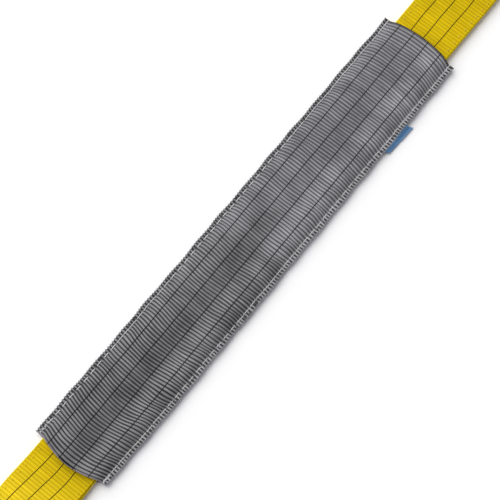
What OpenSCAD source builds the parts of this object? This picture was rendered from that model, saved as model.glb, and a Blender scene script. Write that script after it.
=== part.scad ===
// Duplex flat web sling with two folded eyes and a ribbed wear sleeve.
// Units are millimetres. +X runs along the sling, +Y across it, +Z up.
// The origin is the centre of the wear sleeve's underside, where it rests.
// Eye A is at -X and eye B at +X. Left is +Y and right is -Y.

/* [Sling web] */
// Width of the sling webbing
web_w = 90; // [75:1:100]
// Thickness of one ply of the sling webbing
ply_t = 3.4; // [2.8:0.1:4]
// Effective length, from eye seat to eye seat
effective_l = 2000; // [1960:20:3000]
// Marker threads woven into each ply, one for each tonne of capacity
web_markers = 3; // [1:1:4]
// Width of one woven marker thread
marker_w = 1.4; // [1:0.1:2]
// Depth of a marker thread in its ply or panel
marker_d = 0.5; // [0.3:0.1:0.8]

/* [Eyes] */
// Inside length of each eye, from throat to seat
eye_l = 350; // [320:5:400]
// Radius of the seat at the crown of an open eye
seat_r = 18; // [15:1:22]
// Thickness of the wear pad in the crown
pad_t = 2.2; // [1.6:0.1:3]
// Length of the wear pad along each leg
pad_leg = 60; // [30:5:90]
// Distance from the throat at which the web starts to fold
fold_start = 60; // [30:5:90]
// Distance from the throat at which the web is folded to half its width
fold_end = 210; // [170:5:230]
// Distance of a fold seam from the edge of the folded web
fold_inset = 7; // [5:0.5:10]

/* [Sling seams] */
// Width of a sewing thread
thread_w = 1.2; // [0.8:0.1:1.6]
// Height of a sewing thread above the webbing
thread_h = 0.4; // [0.2:0.1:0.6]
// Distance of an edge seam from the edge of the sling web
edge_inset = 7; // [5:0.5:10]
// Length of the sewn splice behind each throat
splice_l = 130; // [100:5:140]
// Distance from a throat to the end of its splice and of the edge seams
splice_setback = 10; // [6:1:20]
// Rows of stitching in a splice
splice_rows = 8; // [4:1:10]
// Spacing of the splice rows
splice_pitch = 8; // [6:0.5:9]

/* [Wear sleeve] */
// Cut length of the sleeve panels
sleeve_l = 750; // [650:10:850]
// Thickness of a sleeve panel
sleeve_t = 2.2; // [1.8:0.1:2.6]
// Room between the edge of the sling web and the inside of the flange
side_room = 6.6; // [5:0.2:10]
// Width of the flat sewn flange along each side
flange_w = 8.4; // [7.5:0.1:12]
// Height of the sleeve's crown over the sling web
crown_gap = 7; // [6:0.5:12]
// How squarely the top panel arches over the web
arch_power = 2.8; // [2.5:0.1:3.5]
// How far the middle of each cut end bows out
end_bow = 8; // [4:0.5:12]
// How far sewing draws the flanges back from the cut length
edge_draw = 2.5; // [1:0.5:5]
// Marker threads woven into each sleeve panel
sleeve_markers = 4; // [2:1:5]
// Spacing of the sleeve's marker threads
sleeve_marker_pitch = 23.2; // [18:0.2:24]

/* [Sleeve seams] */
// Distance of a sleeve seam from the edge of the flange
seam_inset = 6.6; // [5:0.1:6.8]
// Width of the sleeve's sewing thread
seam_w = 1.4; // [1:0.1:1.8]
// Length of one visible stitch
stitch_l = 10; // [8:0.5:11]
// Distance from one stitch to the next
stitch_pitch = 13.5; // [12.5:0.5:16]
// Length of the back tack at each end of a seam
tack_l = 14; // [10:1:20]
// Rows of thread in a back tack
tack_rows = 2; // [1:1:2]

/* [Labels] */
// Thickness of both blank labels
label_t = 0.6; // [0.4:0.1:1]
// Length of the sleeve label along the flange
sleeve_label_l = 50; // [35:1:70]
// How far the sleeve label stands out of the flange
sleeve_label_out = 9; // [6:0.5:20]
// Distance from the end of the flange to the sleeve label
sleeve_label_end = 105.5; // [20:0.5:120]
// Length of the sling label's free flap
sling_label_l = 70; // [50:1:80]
// Width of the sling label
sling_label_w = 40; // [30:1:50]
// Length of the sling label's sewn tab
tab_l = 9; // [8:1:14]
// Distance from the throat of eye A to the sling label's tab
label_setback = 118; // [100:1:120]

/* [Clearances] */
// Running gap between pieces that move past each other
run_gap = 0.3; // [0.2:0.05:0.5]
// Gap between layers that are sewn together round a curve
lay_gap = 0.1; // [0.05:0.05:0.2]

/* [Hidden] */
$fn = 64;
cut = 1;
curve_n = 28;
bow_power = 1.85;
tack_step = 1.6;
web_z = sleeve_t + run_gap + thread_h;
web_top = web_z + 2 * ply_t;
mid_z = web_z + ply_t;
throat_x = effective_l / 2 - eye_l;
body_x = throat_x - ply_t - run_gap;
seam_x = throat_x - splice_setback;
room_y = web_w / 2 + side_room;
sleeve_w = 2 * (room_y + flange_w);
arch_h = ply_t + crown_gap;
flange_top = mid_z + sleeve_t;
flange_under = mid_z - sleeve_t;
flange_x = sleeve_l / 2 - edge_draw;
seam_y = sleeve_w / 2 - seam_inset;
tack_x = flange_x - edge_draw;
sleeve_top = mid_z + arch_h + sleeve_t;
crown_t = 2 * ply_t;
crown_in = seat_r + pad_t;
crown_out = crown_in + crown_t;
crown_e = eye_l - seat_r;
crown_z = crown_out + thread_h - mid_z;
mouth_e = 20;
pad_e = crown_e - pad_leg;
label_z = web_top + thread_h + run_gap + label_t / 2;
label_axis_x = throat_x - label_setback;
sleeve_label_x = flange_x - sleeve_label_end - sleeve_label_l / 2;
sleeve_label_y = sleeve_w / 2 + run_gap + label_t / 2;

sling_colour = [0.93, 0.74, 0.11];
sleeve_colour = [0.45, 0.46, 0.47];
marker_colour = [0.05, 0.05, 0.06];
thread_colour = [0.92, 0.92, 0.90];
sling_thread_colour = [0.93, 0.82, 0.55];
label_colour = [0.13, 0.30, 0.62];

// ---- curves ----

function ease(u) = u <= 0 ? 0 : u >= 1 ? 1 : u * u * (3 - 2 * u);
function lerp(a, b, u) = a + (b - a) * u;
function steps(a, b, n) = [for (i = [0 : n]) lerp(a, b, i / n)];
function flip(points) = [for (i = [len(points) - 1 : -1 : 0]) points[i]];

// Height of the top panel's inner face over the flange plane, at y across.
function arch(y) = abs(y) >= room_y ? 0 : arch_h * (1 - pow(abs(y) / room_y, arch_power));

// Height of the bottom panel's under face, flat under the web and drawn up to the flange.
function belly(y) = flange_under * ease((abs(y) - (web_w - ply_t) / 2) / (side_room + ply_t / 2));

// Position of the cut end of a sleeve panel, at y across.
function sleeve_end(y) =
  flange_x + (abs(y) >= room_y ? 0 : end_bow * (1 - pow(abs(y) / room_y, bow_power)));

// Outer faces of an eye's legs and their thickness, at distance e from the throat.
function leg_low(e) = lerp(-ply_t, crown_z - crown_out, ease(e / crown_e));
function leg_high(e) = lerp(ply_t, crown_z + crown_out, ease(e / crown_e));
function leg_t(e) = lerp(ply_t, crown_t, ease((e - fold_start) / (fold_end - fold_start)));

// Width of the folded web at distance e from the throat.
function strap_w(e) = lerp(web_w, web_w / 2, ease((e - fold_start) / (fold_end - fold_start)));

// ---- shared shapes ----

// Extrudes a section drawn across the sling, from x0 to x1.
module along_x(x0, x1) {
  rotate([90, 0, 90]) translate([0, 0, x0]) linear_extrude(x1 - x0) children();
}

// Extrudes a section drawn along an eye, to a width across it.
module eye_slab(w) {
  translate([throat_x, 0, mid_z]) rotate([90, 0, 0]) linear_extrude(w, center = true) children();
}

// A bar of thread on a face whose height is z, running along X.
module thread_x(x0, x1, y, z, w, up = 1) {
  translate([x0, y - w / 2, up > 0 ? z : z - thread_h]) cube([x1 - x0, w, thread_h]);
}

// A bar of thread on a face whose height is z, running along Y.
module thread_y(x, y0, y1, z, w, up = 1) {
  translate([x - w / 2, y0, up > 0 ? z : z - thread_h]) cube([w, y1 - y0, thread_h]);
}

// ---- sling body ----

module ply_section(z) {
  union() {
    translate([-(web_w - ply_t) / 2, z]) square([web_w - ply_t, ply_t]);
    for (s = [-1, 1]) translate([s * (web_w - ply_t) / 2, z + ply_t / 2]) circle(d = ply_t);
  }
}

// Slots of the web's marker threads in the face at height z, open upwards or downwards.
module web_slots(z, up) {
  for (i = [1 : web_markers])
    translate([web_w * (i / (web_markers + 1) - 0.5) - marker_w / 2, up ? z - marker_d : z - cut])
      square([marker_w, marker_d + cut]);
}

module upper_ply() {
  color(sling_colour) along_x(-body_x, body_x) difference() {
    ply_section(mid_z);
    web_slots(web_top, true);
  }
}

module lower_ply() {
  color(sling_colour) along_x(-body_x, body_x) difference() {
    ply_section(web_z);
    web_slots(web_z, false);
  }
}

module upper_ply_markers() {
  color(marker_colour) along_x(-body_x, body_x) intersection() {
    ply_section(mid_z);
    web_slots(web_top, true);
  }
}

module lower_ply_markers() {
  color(marker_colour) along_x(-body_x, body_x) intersection() {
    ply_section(web_z);
    web_slots(web_z, false);
  }
}

// Seam that holds both plies together along one edge, seen on both faces.
module edge_seam(side) {
  color(sling_thread_colour) {
    thread_x(-seam_x, seam_x, side * (web_w / 2 - edge_inset), web_top, thread_w);
    thread_x(-seam_x, seam_x, side * (web_w / 2 - edge_inset), web_z, thread_w, -1);
  }
}

module edge_seam_left() edge_seam(1);
module edge_seam_right() edge_seam(-1);

// Splice behind a throat: rows along the web, closed by a bar across each end.
module splice_face(z, up) {
  half = splice_pitch * (splice_rows - 1) / 2;
  union() {
    for (i = [0 : splice_rows - 1])
      thread_x(seam_x - splice_l, seam_x, i * splice_pitch - half, z, thread_w, up);
    for (x = [seam_x - splice_l + thread_w / 2, seam_x - thread_w / 2])
      thread_y(x, -half, half, z, thread_w, up);
  }
}

module splice_stitching_b() {
  color(sling_thread_colour) {
    splice_face(web_top, 1);
    splice_face(web_z, -1);
  }
}

module splice_stitching_a() mirror([1, 0, 0]) splice_stitching_b();

// ---- sling label, blank, sewn down along one end ----

module sling_label_tab() {
  x0 = -label_axis_x + label_t / 2 + run_gap;
  color(label_colour) translate([x0, -sling_label_w / 2, label_z - label_t / 2])
    cube([tab_l, sling_label_w, label_t]);
}

module sling_label_stitching() {
  x0 = -label_axis_x + label_t / 2 + run_gap;
  z = label_z + label_t / 2;
  half = sling_label_w / 2 - 3 * thread_w;
  color(thread_colour) union() {
    for (x = [x0 + tab_l / 2, x0 + tab_l - thread_w]) thread_y(x, -half, half, z, thread_w);
    for (s = [-1, 1])
      thread_x(x0 + tab_l / 2, x0 + tab_l - thread_w, s * (half - thread_w / 2), z, thread_w);
  }
}

module sling_label() {
  color(label_colour) union() {
    translate([-label_axis_x - sling_label_l, -sling_label_w / 2, label_z - label_t / 2])
      cube([sling_label_l, sling_label_w, label_t]);
    translate([-label_axis_x, 0, label_z]) rotate([90, 0, 0])
      cylinder(d = label_t, h = sling_label_w, center = true);
  }
}

// ---- eyes ----

// Stations along a leg's outer and inner faces, shared by all that lies on them.
function outer_e(from) =
  concat(from < fold_end ? steps(from, fold_end, 18) : [], steps(fold_end, crown_e, 12));
function inner_e(from) = concat(from < pad_e ? steps(from, pad_e, 22) : [], steps(pad_e, crown_e, 8));

module leg_outline() {
  e = outer_e(0);
  polygon(concat([for (p = e) [p, leg_low(p)]], flip([for (p = e) [p, leg_high(p)]])));
}

module leg_opening() {
  e = inner_e(mouth_e);
  polygon(concat(
    [for (p = e) [p, leg_low(p) + leg_t(p)]],
    [[crown_e + cut, crown_z - crown_in], [crown_e + cut, crown_z + crown_in]],
    flip([for (p = e) [p, leg_high(p) - leg_t(p)]])));
}

// Half ring round the crown, from r0 to r1.
module crown_ring(r0, r1) {
  translate([crown_e, crown_z]) intersection() {
    difference() {
      circle(r = r1);
      circle(r = r0);
    }
    translate([0, -r1 - cut]) square([r1 + cut, 2 * (r1 + cut)]);
  }
}

module loop_section() {
  union() {
    circle(r = ply_t);
    difference() {
      leg_outline();
      leg_opening();
    }
    crown_ring(crown_in, crown_out);
  }
}

// Plan of the folded web: full width at the throat, half width at the crown.
module strap_plan() {
  e = concat([-ply_t - cut], steps(fold_start, fold_end, curve_n / 2), [crown_e + crown_out + cut]);
  translate([throat_x, 0]) polygon(concat(
    [for (p = e) [p, -strap_w(p) / 2]], flip([for (p = e) [p, strap_w(p) / 2]])));
}

module eye_loop() {
  color(sling_colour) intersection() {
    eye_slab(web_w) loop_section();
    translate([0, 0, -cut]) linear_extrude(2 * crown_out + thread_h + 2 * cut) strap_plan();
  }
}

// Strip of thickness t on the inner or outer face of a leg, clear of it by the lay gap.
module on_low_leg(e, face, t) {
  polygon(concat(
    [for (p = e) [p, leg_low(p) + face * leg_t(p) + (face > 0 ? lay_gap : -t)]],
    flip([for (p = e) [p, leg_low(p) + face * leg_t(p) + (face > 0 ? t : -lay_gap)]])));
}

module on_high_leg(e, face, t) {
  polygon(concat(
    [for (p = e) [p, leg_high(p) - face * leg_t(p) + (face > 0 ? -t : lay_gap)]],
    flip([for (p = e) [p, leg_high(p) - face * leg_t(p) + (face > 0 ? -lay_gap : t)]])));
}

module eye_wear_pad() {
  color(sling_colour) eye_slab(web_w / 2) union() {
    on_low_leg(inner_e(pad_e), 1, pad_t);
    on_high_leg(inner_e(pad_e), 1, pad_t);
    crown_ring(seat_r, crown_in - lay_gap);
  }
}

// Two seams that hold the folded web, round the outside of the crown.
module eye_fold_stitching() {
  color(sling_thread_colour)
    for (s = [-1, 1]) translate([0, s * (web_w / 4 - fold_inset), 0]) eye_slab(thread_w) union() {
      on_low_leg(outer_e(fold_end), 0, thread_h);
      on_high_leg(outer_e(fold_end), 0, thread_h);
      crown_ring(crown_out + lay_gap, crown_out + thread_h);
    }
}

module eye_b_loop() eye_loop();
module eye_b_wear_pad() eye_wear_pad();
module eye_b_fold_stitching() eye_fold_stitching();
module eye_a_loop() mirror([1, 0, 0]) eye_loop();
module eye_a_wear_pad() mirror([1, 0, 0]) eye_wear_pad();
module eye_a_fold_stitching() mirror([1, 0, 0]) eye_fold_stitching();

// ---- wear sleeve ----

// Selvedges round off both edges of a panel whose flange lies at height z.
module selvedges(z) {
  for (s = [-1, 1]) translate([s * (sleeve_w - sleeve_t) / 2, z + sleeve_t / 2]) circle(d = sleeve_t);
}

module top_section() {
  edge = (sleeve_w - sleeve_t) / 2;
  y = concat([-edge], steps(-room_y, room_y, 2 * curve_n), [edge]);
  union() {
    polygon(concat(
      [for (p = y) [p, mid_z + arch(p)]], flip([for (p = y) [p, mid_z + arch(p) + sleeve_t]])));
    selvedges(mid_z);
  }
}

module bottom_section() {
  edge = (sleeve_w - sleeve_t) / 2;
  flat = (web_w - ply_t) / 2;
  y = concat([-edge], steps(-room_y, -flat, 10), steps(flat, room_y, 10), [edge]);
  union() {
    polygon(concat([for (p = y) [p, belly(p)]], flip([for (p = y) [p, belly(p) + sleeve_t]])));
    selvedges(flange_under);
  }
}

function sleeve_marker_y(i) = sleeve_marker_pitch * (i - (sleeve_markers - 1) / 2);

// Slots of the sleeve's marker threads, in the outer face of the top or bottom panel.
module top_slots() {
  for (i = [0 : sleeve_markers - 1]) {
    y = sleeve_marker_y(i);
    translate([y - marker_w / 2, flange_top + arch(y) - marker_d])
      square([marker_w, marker_d + cut]);
  }
}

module bottom_slots() {
  for (i = [0 : sleeve_markers - 1])
    translate([sleeve_marker_y(i) - marker_w / 2, -cut]) square([marker_w, marker_d + cut]);
}

// Plan of a sleeve panel, with its bowed cut ends.
module sleeve_plan() {
  y = concat([-sleeve_w / 2 - cut], steps(-room_y, room_y, curve_n), [sleeve_w / 2 + cut]);
  polygon(concat([for (p = y) [sleeve_end(p), p]], flip([for (p = y) [-sleeve_end(p), p]])));
}

// Runs a section the length of the sleeve and cuts its ends.
module sleeve_run() {
  intersection() {
    along_x(-flange_x - end_bow - cut, flange_x + end_bow + cut) children();
    translate([0, 0, -cut]) linear_extrude(sleeve_top + 2 * cut) sleeve_plan();
  }
}

module sleeve_top_panel() {
  color(sleeve_colour) sleeve_run() difference() {
    top_section();
    top_slots();
  }
}

module sleeve_bottom_panel() {
  color(sleeve_colour) sleeve_run() difference() {
    bottom_section();
    bottom_slots();
  }
}

module sleeve_top_markers() {
  color(marker_colour) sleeve_run() intersection() {
    top_section();
    top_slots();
  }
}

module sleeve_bottom_markers() {
  color(marker_colour) sleeve_run() intersection() {
    bottom_section();
    bottom_slots();
  }
}

// Lockstitch seam through both flanges, seen as stitches on both faces.
module sleeve_seam(side) {
  n = floor((2 * (tack_x - tack_l - run_gap) - stitch_l) / stitch_pitch);
  color(thread_colour) for (i = [0 : n]) {
    x = (i - n / 2) * stitch_pitch - stitch_l / 2;
    thread_x(x, x + stitch_l, side * seam_y, flange_top, seam_w);
    thread_x(x, x + stitch_l, side * seam_y, flange_under, seam_w, -1);
  }
}

module sleeve_seam_left() sleeve_seam(1);
module sleeve_seam_right() sleeve_seam(-1);

// Back tack that locks the end of a seam: short rows outboard of it, on the top face.
module sleeve_tack(end, side) {
  mirror([end > 0 ? 0 : 1, 0, 0]) color(thread_colour)
    for (i = [0 : tack_rows])
      thread_x(tack_x - tack_l, tack_x, side * (seam_y + i * tack_step), flange_top, thread_w);
}

module sleeve_tack_a_left() sleeve_tack(-1, 1);
module sleeve_tack_a_right() sleeve_tack(-1, -1);
module sleeve_tack_b_left() sleeve_tack(1, 1);
module sleeve_tack_b_right() sleeve_tack(1, -1);

// Blank label sewn into the right seam, standing out between the flanges.
module sleeve_label() {
  color(label_colour) union() {
    translate([sleeve_label_x - sleeve_label_l / 2, -sleeve_label_y - sleeve_label_out,
        mid_z - label_t / 2])
      cube([sleeve_label_l, sleeve_label_out, label_t]);
    translate([sleeve_label_x, -sleeve_label_y, mid_z]) rotate([0, 90, 0])
      cylinder(d = label_t, h = sleeve_label_l, center = true);
  }
}

upper_ply();
lower_ply();
upper_ply_markers();
lower_ply_markers();
edge_seam_left();
edge_seam_right();
splice_stitching_a();
splice_stitching_b();
sling_label_tab();
sling_label_stitching();
sling_label();
eye_a_loop();
eye_a_wear_pad();
eye_a_fold_stitching();
eye_b_loop();
eye_b_wear_pad();
eye_b_fold_stitching();
sleeve_top_panel();
sleeve_bottom_panel();
sleeve_top_markers();
sleeve_bottom_markers();
sleeve_seam_left();
sleeve_seam_right();
sleeve_tack_a_left();
sleeve_tack_a_right();
sleeve_tack_b_left();
sleeve_tack_b_right();
sleeve_label();
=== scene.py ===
"""Looks of a duplex flat web sling in a ribbed wear sleeve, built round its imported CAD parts."""

import logging
import math
from dataclasses import dataclass
from enum import Enum
from typing import Callable, Sequence

import bpy
import numpy as np
from mathutils import Matrix, Vector


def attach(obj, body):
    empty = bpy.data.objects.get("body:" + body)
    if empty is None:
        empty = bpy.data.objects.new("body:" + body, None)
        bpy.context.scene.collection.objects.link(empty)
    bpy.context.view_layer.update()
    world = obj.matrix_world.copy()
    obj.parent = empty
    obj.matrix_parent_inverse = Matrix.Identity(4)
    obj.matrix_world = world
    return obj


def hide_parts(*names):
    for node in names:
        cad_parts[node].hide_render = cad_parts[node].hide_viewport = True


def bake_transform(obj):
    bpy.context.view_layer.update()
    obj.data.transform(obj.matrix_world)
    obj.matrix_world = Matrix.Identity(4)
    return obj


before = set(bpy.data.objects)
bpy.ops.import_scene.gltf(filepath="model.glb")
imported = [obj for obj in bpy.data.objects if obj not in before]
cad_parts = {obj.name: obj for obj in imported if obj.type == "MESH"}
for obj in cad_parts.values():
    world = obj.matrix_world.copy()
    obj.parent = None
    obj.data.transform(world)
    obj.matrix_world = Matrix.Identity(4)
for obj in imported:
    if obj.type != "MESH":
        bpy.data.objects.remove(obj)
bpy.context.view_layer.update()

LOG = logging.getLogger("sling")
MM = 0.001
CLOTH_UV = "Cloth"
UP_ATTRIBUTE = "up"

Colour = tuple[float, float, float]
Stretch = tuple[float, float, float]
Array = np.ndarray
Piece = bpy.types.Object
Material = bpy.types.Material
Tree = bpy.types.NodeTree
Node = bpy.types.Node
Socket = bpy.types.NodeSocket
ROUND_TURNS = np.radians((45.0, 0.0, -45.0))
NOISE_LOW, NOISE_HIGH = 0.3, 0.7


class Body(Enum):
    """The CAD bodies that pieces ride on."""

    SLING = "sling"
    SLING_LABEL = "sling_label_flap"
    EYE_A = "eye_a"
    EYE_B = "eye_b"
    SLEEVE = "sleeve"
    SLEEVE_LABEL = "sleeve_label_flap"


class Slot(Enum):
    """The record's material slots."""

    SLING_WEBBING = "sling_webbing"
    SLEEVE_WEBBING = "sleeve_webbing"
    MARKER = "marker_thread"
    SLEEVE_THREAD = "sleeve_thread"
    SLING_THREAD = "sling_thread"
    LABEL = "label"


class Side(Enum):
    """Which end of the sling a piece belongs to, as the sign of its X."""

    A = -1
    B = 1


# ---------------------------------------------------------------- curves


def ease(u: Array | float) -> Array | float:
    """Smooth step from 0 to 1, clamped outside."""
    u = np.clip(u, 0.0, 1.0)
    return u * u * (3.0 - 2.0 * u)


def lerp(a: Array | float, b: Array | float, u: Array | float) -> Array | float:
    """Straight blend from a to b."""
    return a + (b - a) * u


def bump_curve(x: Array, centre: float, width: float) -> Array:
    """Bell of height 1 about a centre."""
    return np.exp(-(((x - centre) / width) ** 2))


@dataclass(frozen=True)
class Step:
    """A smooth change: how much it comes to, where it starts and over what length."""

    amount: float
    start: float
    span: float

    def at(self, x: Array | float) -> Array | float:
        """How much of the change has come at a place."""
        return self.amount * ease((x - self.start) / self.span)


@dataclass(frozen=True)
class Wave:
    """One sine of an unevenness along the cloth.

    Its start moves with the side of the cloth, and slants with the place across it.
    """

    height: float
    length: float
    start: float = 0.0
    side: float = 0.0
    slant: float = 0.0


def steps_at(steps: Sequence[Step], x: Array) -> Array | float:
    """Sum of steps at a place."""
    return sum(step.at(x) for step in steps)


def waves_at(waves: Sequence[Wave], s: Array, y: Array | float) -> Array:
    """Sum of waves at a place along and across the cloth."""
    side = np.sign(y)
    return sum(w.height * np.sin(s / w.length + w.start + w.side * side + w.slant * y) for w in waves)


# ---------------------------------------------------------------- meshes


def make_object(
    name: str, points: Array, faces: Sequence[Sequence[int]] | Array, cloth: Array | None = None
) -> Piece:
    """Makes a smooth mesh object at the origin.

    Args:
        name: Name of the object and its mesh.
        points: Vertex positions in millimetres.
        faces: Vertex indices of each face.
        cloth: Each vertex's place on the flat cloth in millimetres, run and across.

    Returns:
        The new object, linked to the scene.
    """
    mesh = bpy.data.meshes.new(name)
    mesh.from_pydata((np.asarray(points) * MM).tolist(), [], [list(f) for f in faces])
    mesh.update()
    mesh.shade_smooth()
    if cloth is not None:
        layer = mesh.uv_layers.new(name=CLOTH_UV)
        corner = np.zeros(len(mesh.loops), np.int32)
        mesh.loops.foreach_get("vertex_index", corner)
        layer.data.foreach_set("uv", (np.asarray(cloth)[corner] * MM).astype(np.float32).ravel())
    made = bpy.data.objects.new(name, mesh)
    bpy.context.scene.collection.objects.link(made)
    return made


def tube_faces(rows: int, ring: int, first: int = 0) -> list[list[int]]:
    """Quads and end caps of a closed tube whose rings follow each other.

    Args:
        rows: Number of rings.
        ring: Vertices in a ring.
        first: Index of the tube's first vertex.

    Returns:
        The faces, wound so that a ring drawn anticlockwise about the run faces outwards.
    """
    i = np.arange(rows - 1)[:, None] * ring
    j = np.arange(ring)[None, :]
    k = (j + 1) % ring
    quads = np.stack([i + j, i + k, i + ring + k, i + ring + j], -1).reshape(-1, 4) + first
    faces = quads.tolist()
    faces.append([first + n for n in reversed(range(ring))])
    faces.append([first + (rows - 1) * ring + n for n in range(ring)])
    return faces


def make_tube(name: str, rings: Array, cloth: Array) -> Piece:
    """Makes a closed tube with its faces outwards.

    Args:
        name: The piece's name.
        rings: Grid of points in millimetres, a row for each ring.
        cloth: Each point's place on the flat cloth.

    Returns:
        The tube.
    """
    rows, count = rings.shape[:2]
    piece = make_object(name, rings.reshape(-1, 3), tube_faces(rows, count), cloth.reshape(-1, 2))
    face_outwards(piece)
    return piece


def make_sheet(name: str, mid: Array, cloth: Array, thickness: float) -> Piece:
    """Makes a closed sheet of cloth about a grid of points.

    Args:
        name: The piece's name.
        mid: Grid of points in the middle of the cloth, in millimetres.
        cloth: Each point's place on the flat cloth.
        thickness: Thickness of the cloth.

    Returns:
        The sheet.
    """
    du, dv = np.gradient(mid, axis=0), np.gradient(mid, axis=1)
    normal = np.cross(du, dv)
    normal /= np.linalg.norm(normal, axis=-1, keepdims=True)
    half = thickness / 2
    rim = 0.02
    edge = mid[:, [0, -1]] + (mid[:, [0, -1]] - mid[:, [1, -2]]) * rim
    rings = np.concatenate([mid + normal * half, edge[:, 1:], (mid - normal * half)[:, ::-1], edge[:, :1]], 1)
    flat = np.concatenate([cloth, cloth[:, -1:], cloth[:, ::-1], cloth[:, :1]], 1)
    return make_tube(name, rings, flat)


def make_threads(name: str, run: Array, threads: Sequence[tuple[Sequence[Array], float]]) -> Piece:
    """Makes one piece of the flat threads that are woven into a cloth.

    Args:
        name: The piece's name.
        run: Each row's place along the cloth.
        threads: For each thread the lines of points round its section, and its place across the cloth.

    Returns:
        The threads, closed tubes with their faces outwards.
    """
    points, cloth, faces, first = [], [], [], 0
    for lines, y in threads:
        points.append(np.stack(lines, 1).reshape(-1, 3))
        cloth.append(np.stack(np.broadcast_arrays(run[:, None], np.full((1, len(lines)), y)), -1).reshape(-1, 2))
        faces += tube_faces(len(run), len(lines), first)
        first += len(run) * len(lines)
    piece = make_object(name, np.concatenate(points), faces, np.concatenate(cloth))
    face_outwards(piece)
    return piece


def make_path(name: str, runs: Sequence[tuple[Array, Array]]) -> Piece:
    """Makes a mesh of open polylines that a thread follows.

    Args:
        name: Name of the object.
        runs: For each polyline its points in millimetres, and the way out of the cloth at each.

    Returns:
        The new object, with the way out in its up attribute.
    """
    points = np.concatenate([p for p, _ in runs])
    ups = np.concatenate([u for _, u in runs])
    edges, first = [], 0
    for p, _ in runs:
        edges += [(first + n, first + n + 1) for n in range(len(p) - 1)]
        first += len(p)
    mesh = bpy.data.meshes.new(name)
    mesh.from_pydata((points * MM).tolist(), edges, [])
    attribute = mesh.attributes.new(UP_ATTRIBUTE, "FLOAT_VECTOR", "POINT")
    attribute.data.foreach_set("vector", ups.astype(np.float32).ravel())
    made = bpy.data.objects.new(name, mesh)
    bpy.context.scene.collection.objects.link(made)
    return made


def face_outwards(piece: Piece) -> None:
    """Turns a closed mesh's faces outwards if its volume is negative.

    Args:
        piece: The object.
    """
    mesh = piece.data
    mesh.calc_loop_triangles()
    co = np.array([v.co for v in mesh.vertices], float)
    tri = np.zeros(len(mesh.loop_triangles) * 3, np.int32)
    mesh.loop_triangles.foreach_get("vertices", tri)
    a, b, c = (co[tri.reshape(-1, 3)[:, n]] for n in range(3))
    if float((a * np.cross(b, c)).sum()) < 0:
        mesh.flip_normals()


# ---------------------------------------------------------------- node trees


class Bench:
    """Builds a node tree with short calls."""

    def __init__(self, tree: Tree) -> None:
        """Works on a tree."""
        self.tree = tree

    def add(self, kind: str, inputs: dict | None = None, **settings: object) -> Node:
        """Adds a node.

        Args:
            kind: Blender's type name of the node.
            inputs: Values or sockets for its inputs, by name or index.
            **settings: Properties to set on the node first.

        Returns:
            The node.
        """
        node = self.tree.nodes.new(kind)
        for key, value in settings.items():
            setattr(node, key, value)
        for key, value in (inputs or {}).items():
            self.feed(node.inputs[key], value)
        return node

    def feed(self, socket: Socket, value: object) -> None:
        """Links a socket into another, or sets its value.

        Args:
            socket: The input.
            value: A socket or a plain value.
        """
        if isinstance(value, Socket):
            self.tree.links.new(value, socket)
        else:
            socket.default_value = value

    def math(self, operation: str, a: object, b: object = None, c: object = None) -> Socket:
        """Adds a Math node and returns its result."""
        inputs = {n: v for n, v in enumerate((a, b, c)) if v is not None}
        return self.add("ShaderNodeMath", inputs, operation=operation).outputs[0]

    def vector(self, operation: str, a: object, b: object = None) -> Socket:
        """Adds a Vector Math node and returns its vector."""
        inputs = {n: v for n, v in enumerate((a, b)) if v is not None}
        return self.add("ShaderNodeVectorMath", inputs, operation=operation).outputs[0]

    def remap(
        self, value: object, low: float, high: float, to_low: float = 0.0, to_high: float = 1.0, smooth: bool = False
    ) -> Socket:
        """Maps a range onto another, clamped.

        Args:
            value: The value or socket to map.
            low: Start of its range.
            high: End of its range.
            to_low: What the start becomes.
            to_high: What the end becomes.
            smooth: Whether the change is a smooth step.

        Returns:
            The mapped value.
        """
        kind = "SMOOTHSTEP" if smooth else "LINEAR"
        node = self.add(
            "ShaderNodeMapRange",
            {0: value, 1: low, 2: high, 3: to_low, 4: to_high},
            interpolation_type=kind,
        )
        return node.outputs[0]

    def mix_colour(self, factor: object, a: object, b: object, blend: str = "MIX") -> Socket:
        """Mixes two colours and returns the result.

        Args:
            factor: Share of the second.
            a: The first colour.
            b: The second colour.
            blend: Blender's name of the mix.

        Returns:
            The mixed colour.
        """
        node = self.add("ShaderNodeMix", data_type="RGBA", blend_type=blend, clamp_factor=True)
        self.feed(node.inputs["Factor"], factor)
        self.feed(node.inputs[6], rgba(a))
        self.feed(node.inputs[7], rgba(b))
        return node.outputs[2]

    def darken(self, colour: object, factor: object) -> Socket:
        """Multiplies a colour by a factor and returns the result."""
        grey = self.add("ShaderNodeCombineColor", {0: factor, 1: factor, 2: factor}).outputs[0]
        return self.mix_colour(1.0, colour, grey, "MULTIPLY")

    def emboss(self, shader: Node, height: object, strength: float, distance: float) -> None:
        """Feeds a height to a shader's normal, with its distance in millimetres."""
        bump = self.add("ShaderNodeBump", {"Strength": strength, "Distance": distance * MM, "Height": height})
        self.feed(shader.inputs["Normal"], bump.outputs["Normal"])

    def ribs(self, run: object, pitch: object, sharpness: object) -> tuple[Socket, Socket]:
        """Counts the ribs along a cloth.

        Args:
            run: Place along the cloth.
            pitch: Distance from rib to rib.
            sharpness: Power that the half sine across a rib is raised to.

        Returns:
            The rib's number, and its relief from 0 beside it to 1 on its top.
        """
        phase = self.math("DIVIDE", run, pitch)
        wave = self.math("ABSOLUTE", self.math("SINE", self.math("MULTIPLY", phase, math.pi)))
        return self.math("FLOOR", phase), self.math("POWER", wave, sharpness)

    def seen(self) -> Socket:
        """Tells the rays of the camera, of gloss and of glass from the rest.

        Returns:
            1 for such a ray and 0 for another.
        """
        path = self.add("ShaderNodeLightPath")
        seen = self.math("MAXIMUM", path.outputs["Is Camera Ray"], path.outputs["Is Glossy Ray"])
        return self.math("MAXIMUM", seen, path.outputs["Is Transmission Ray"])


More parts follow.
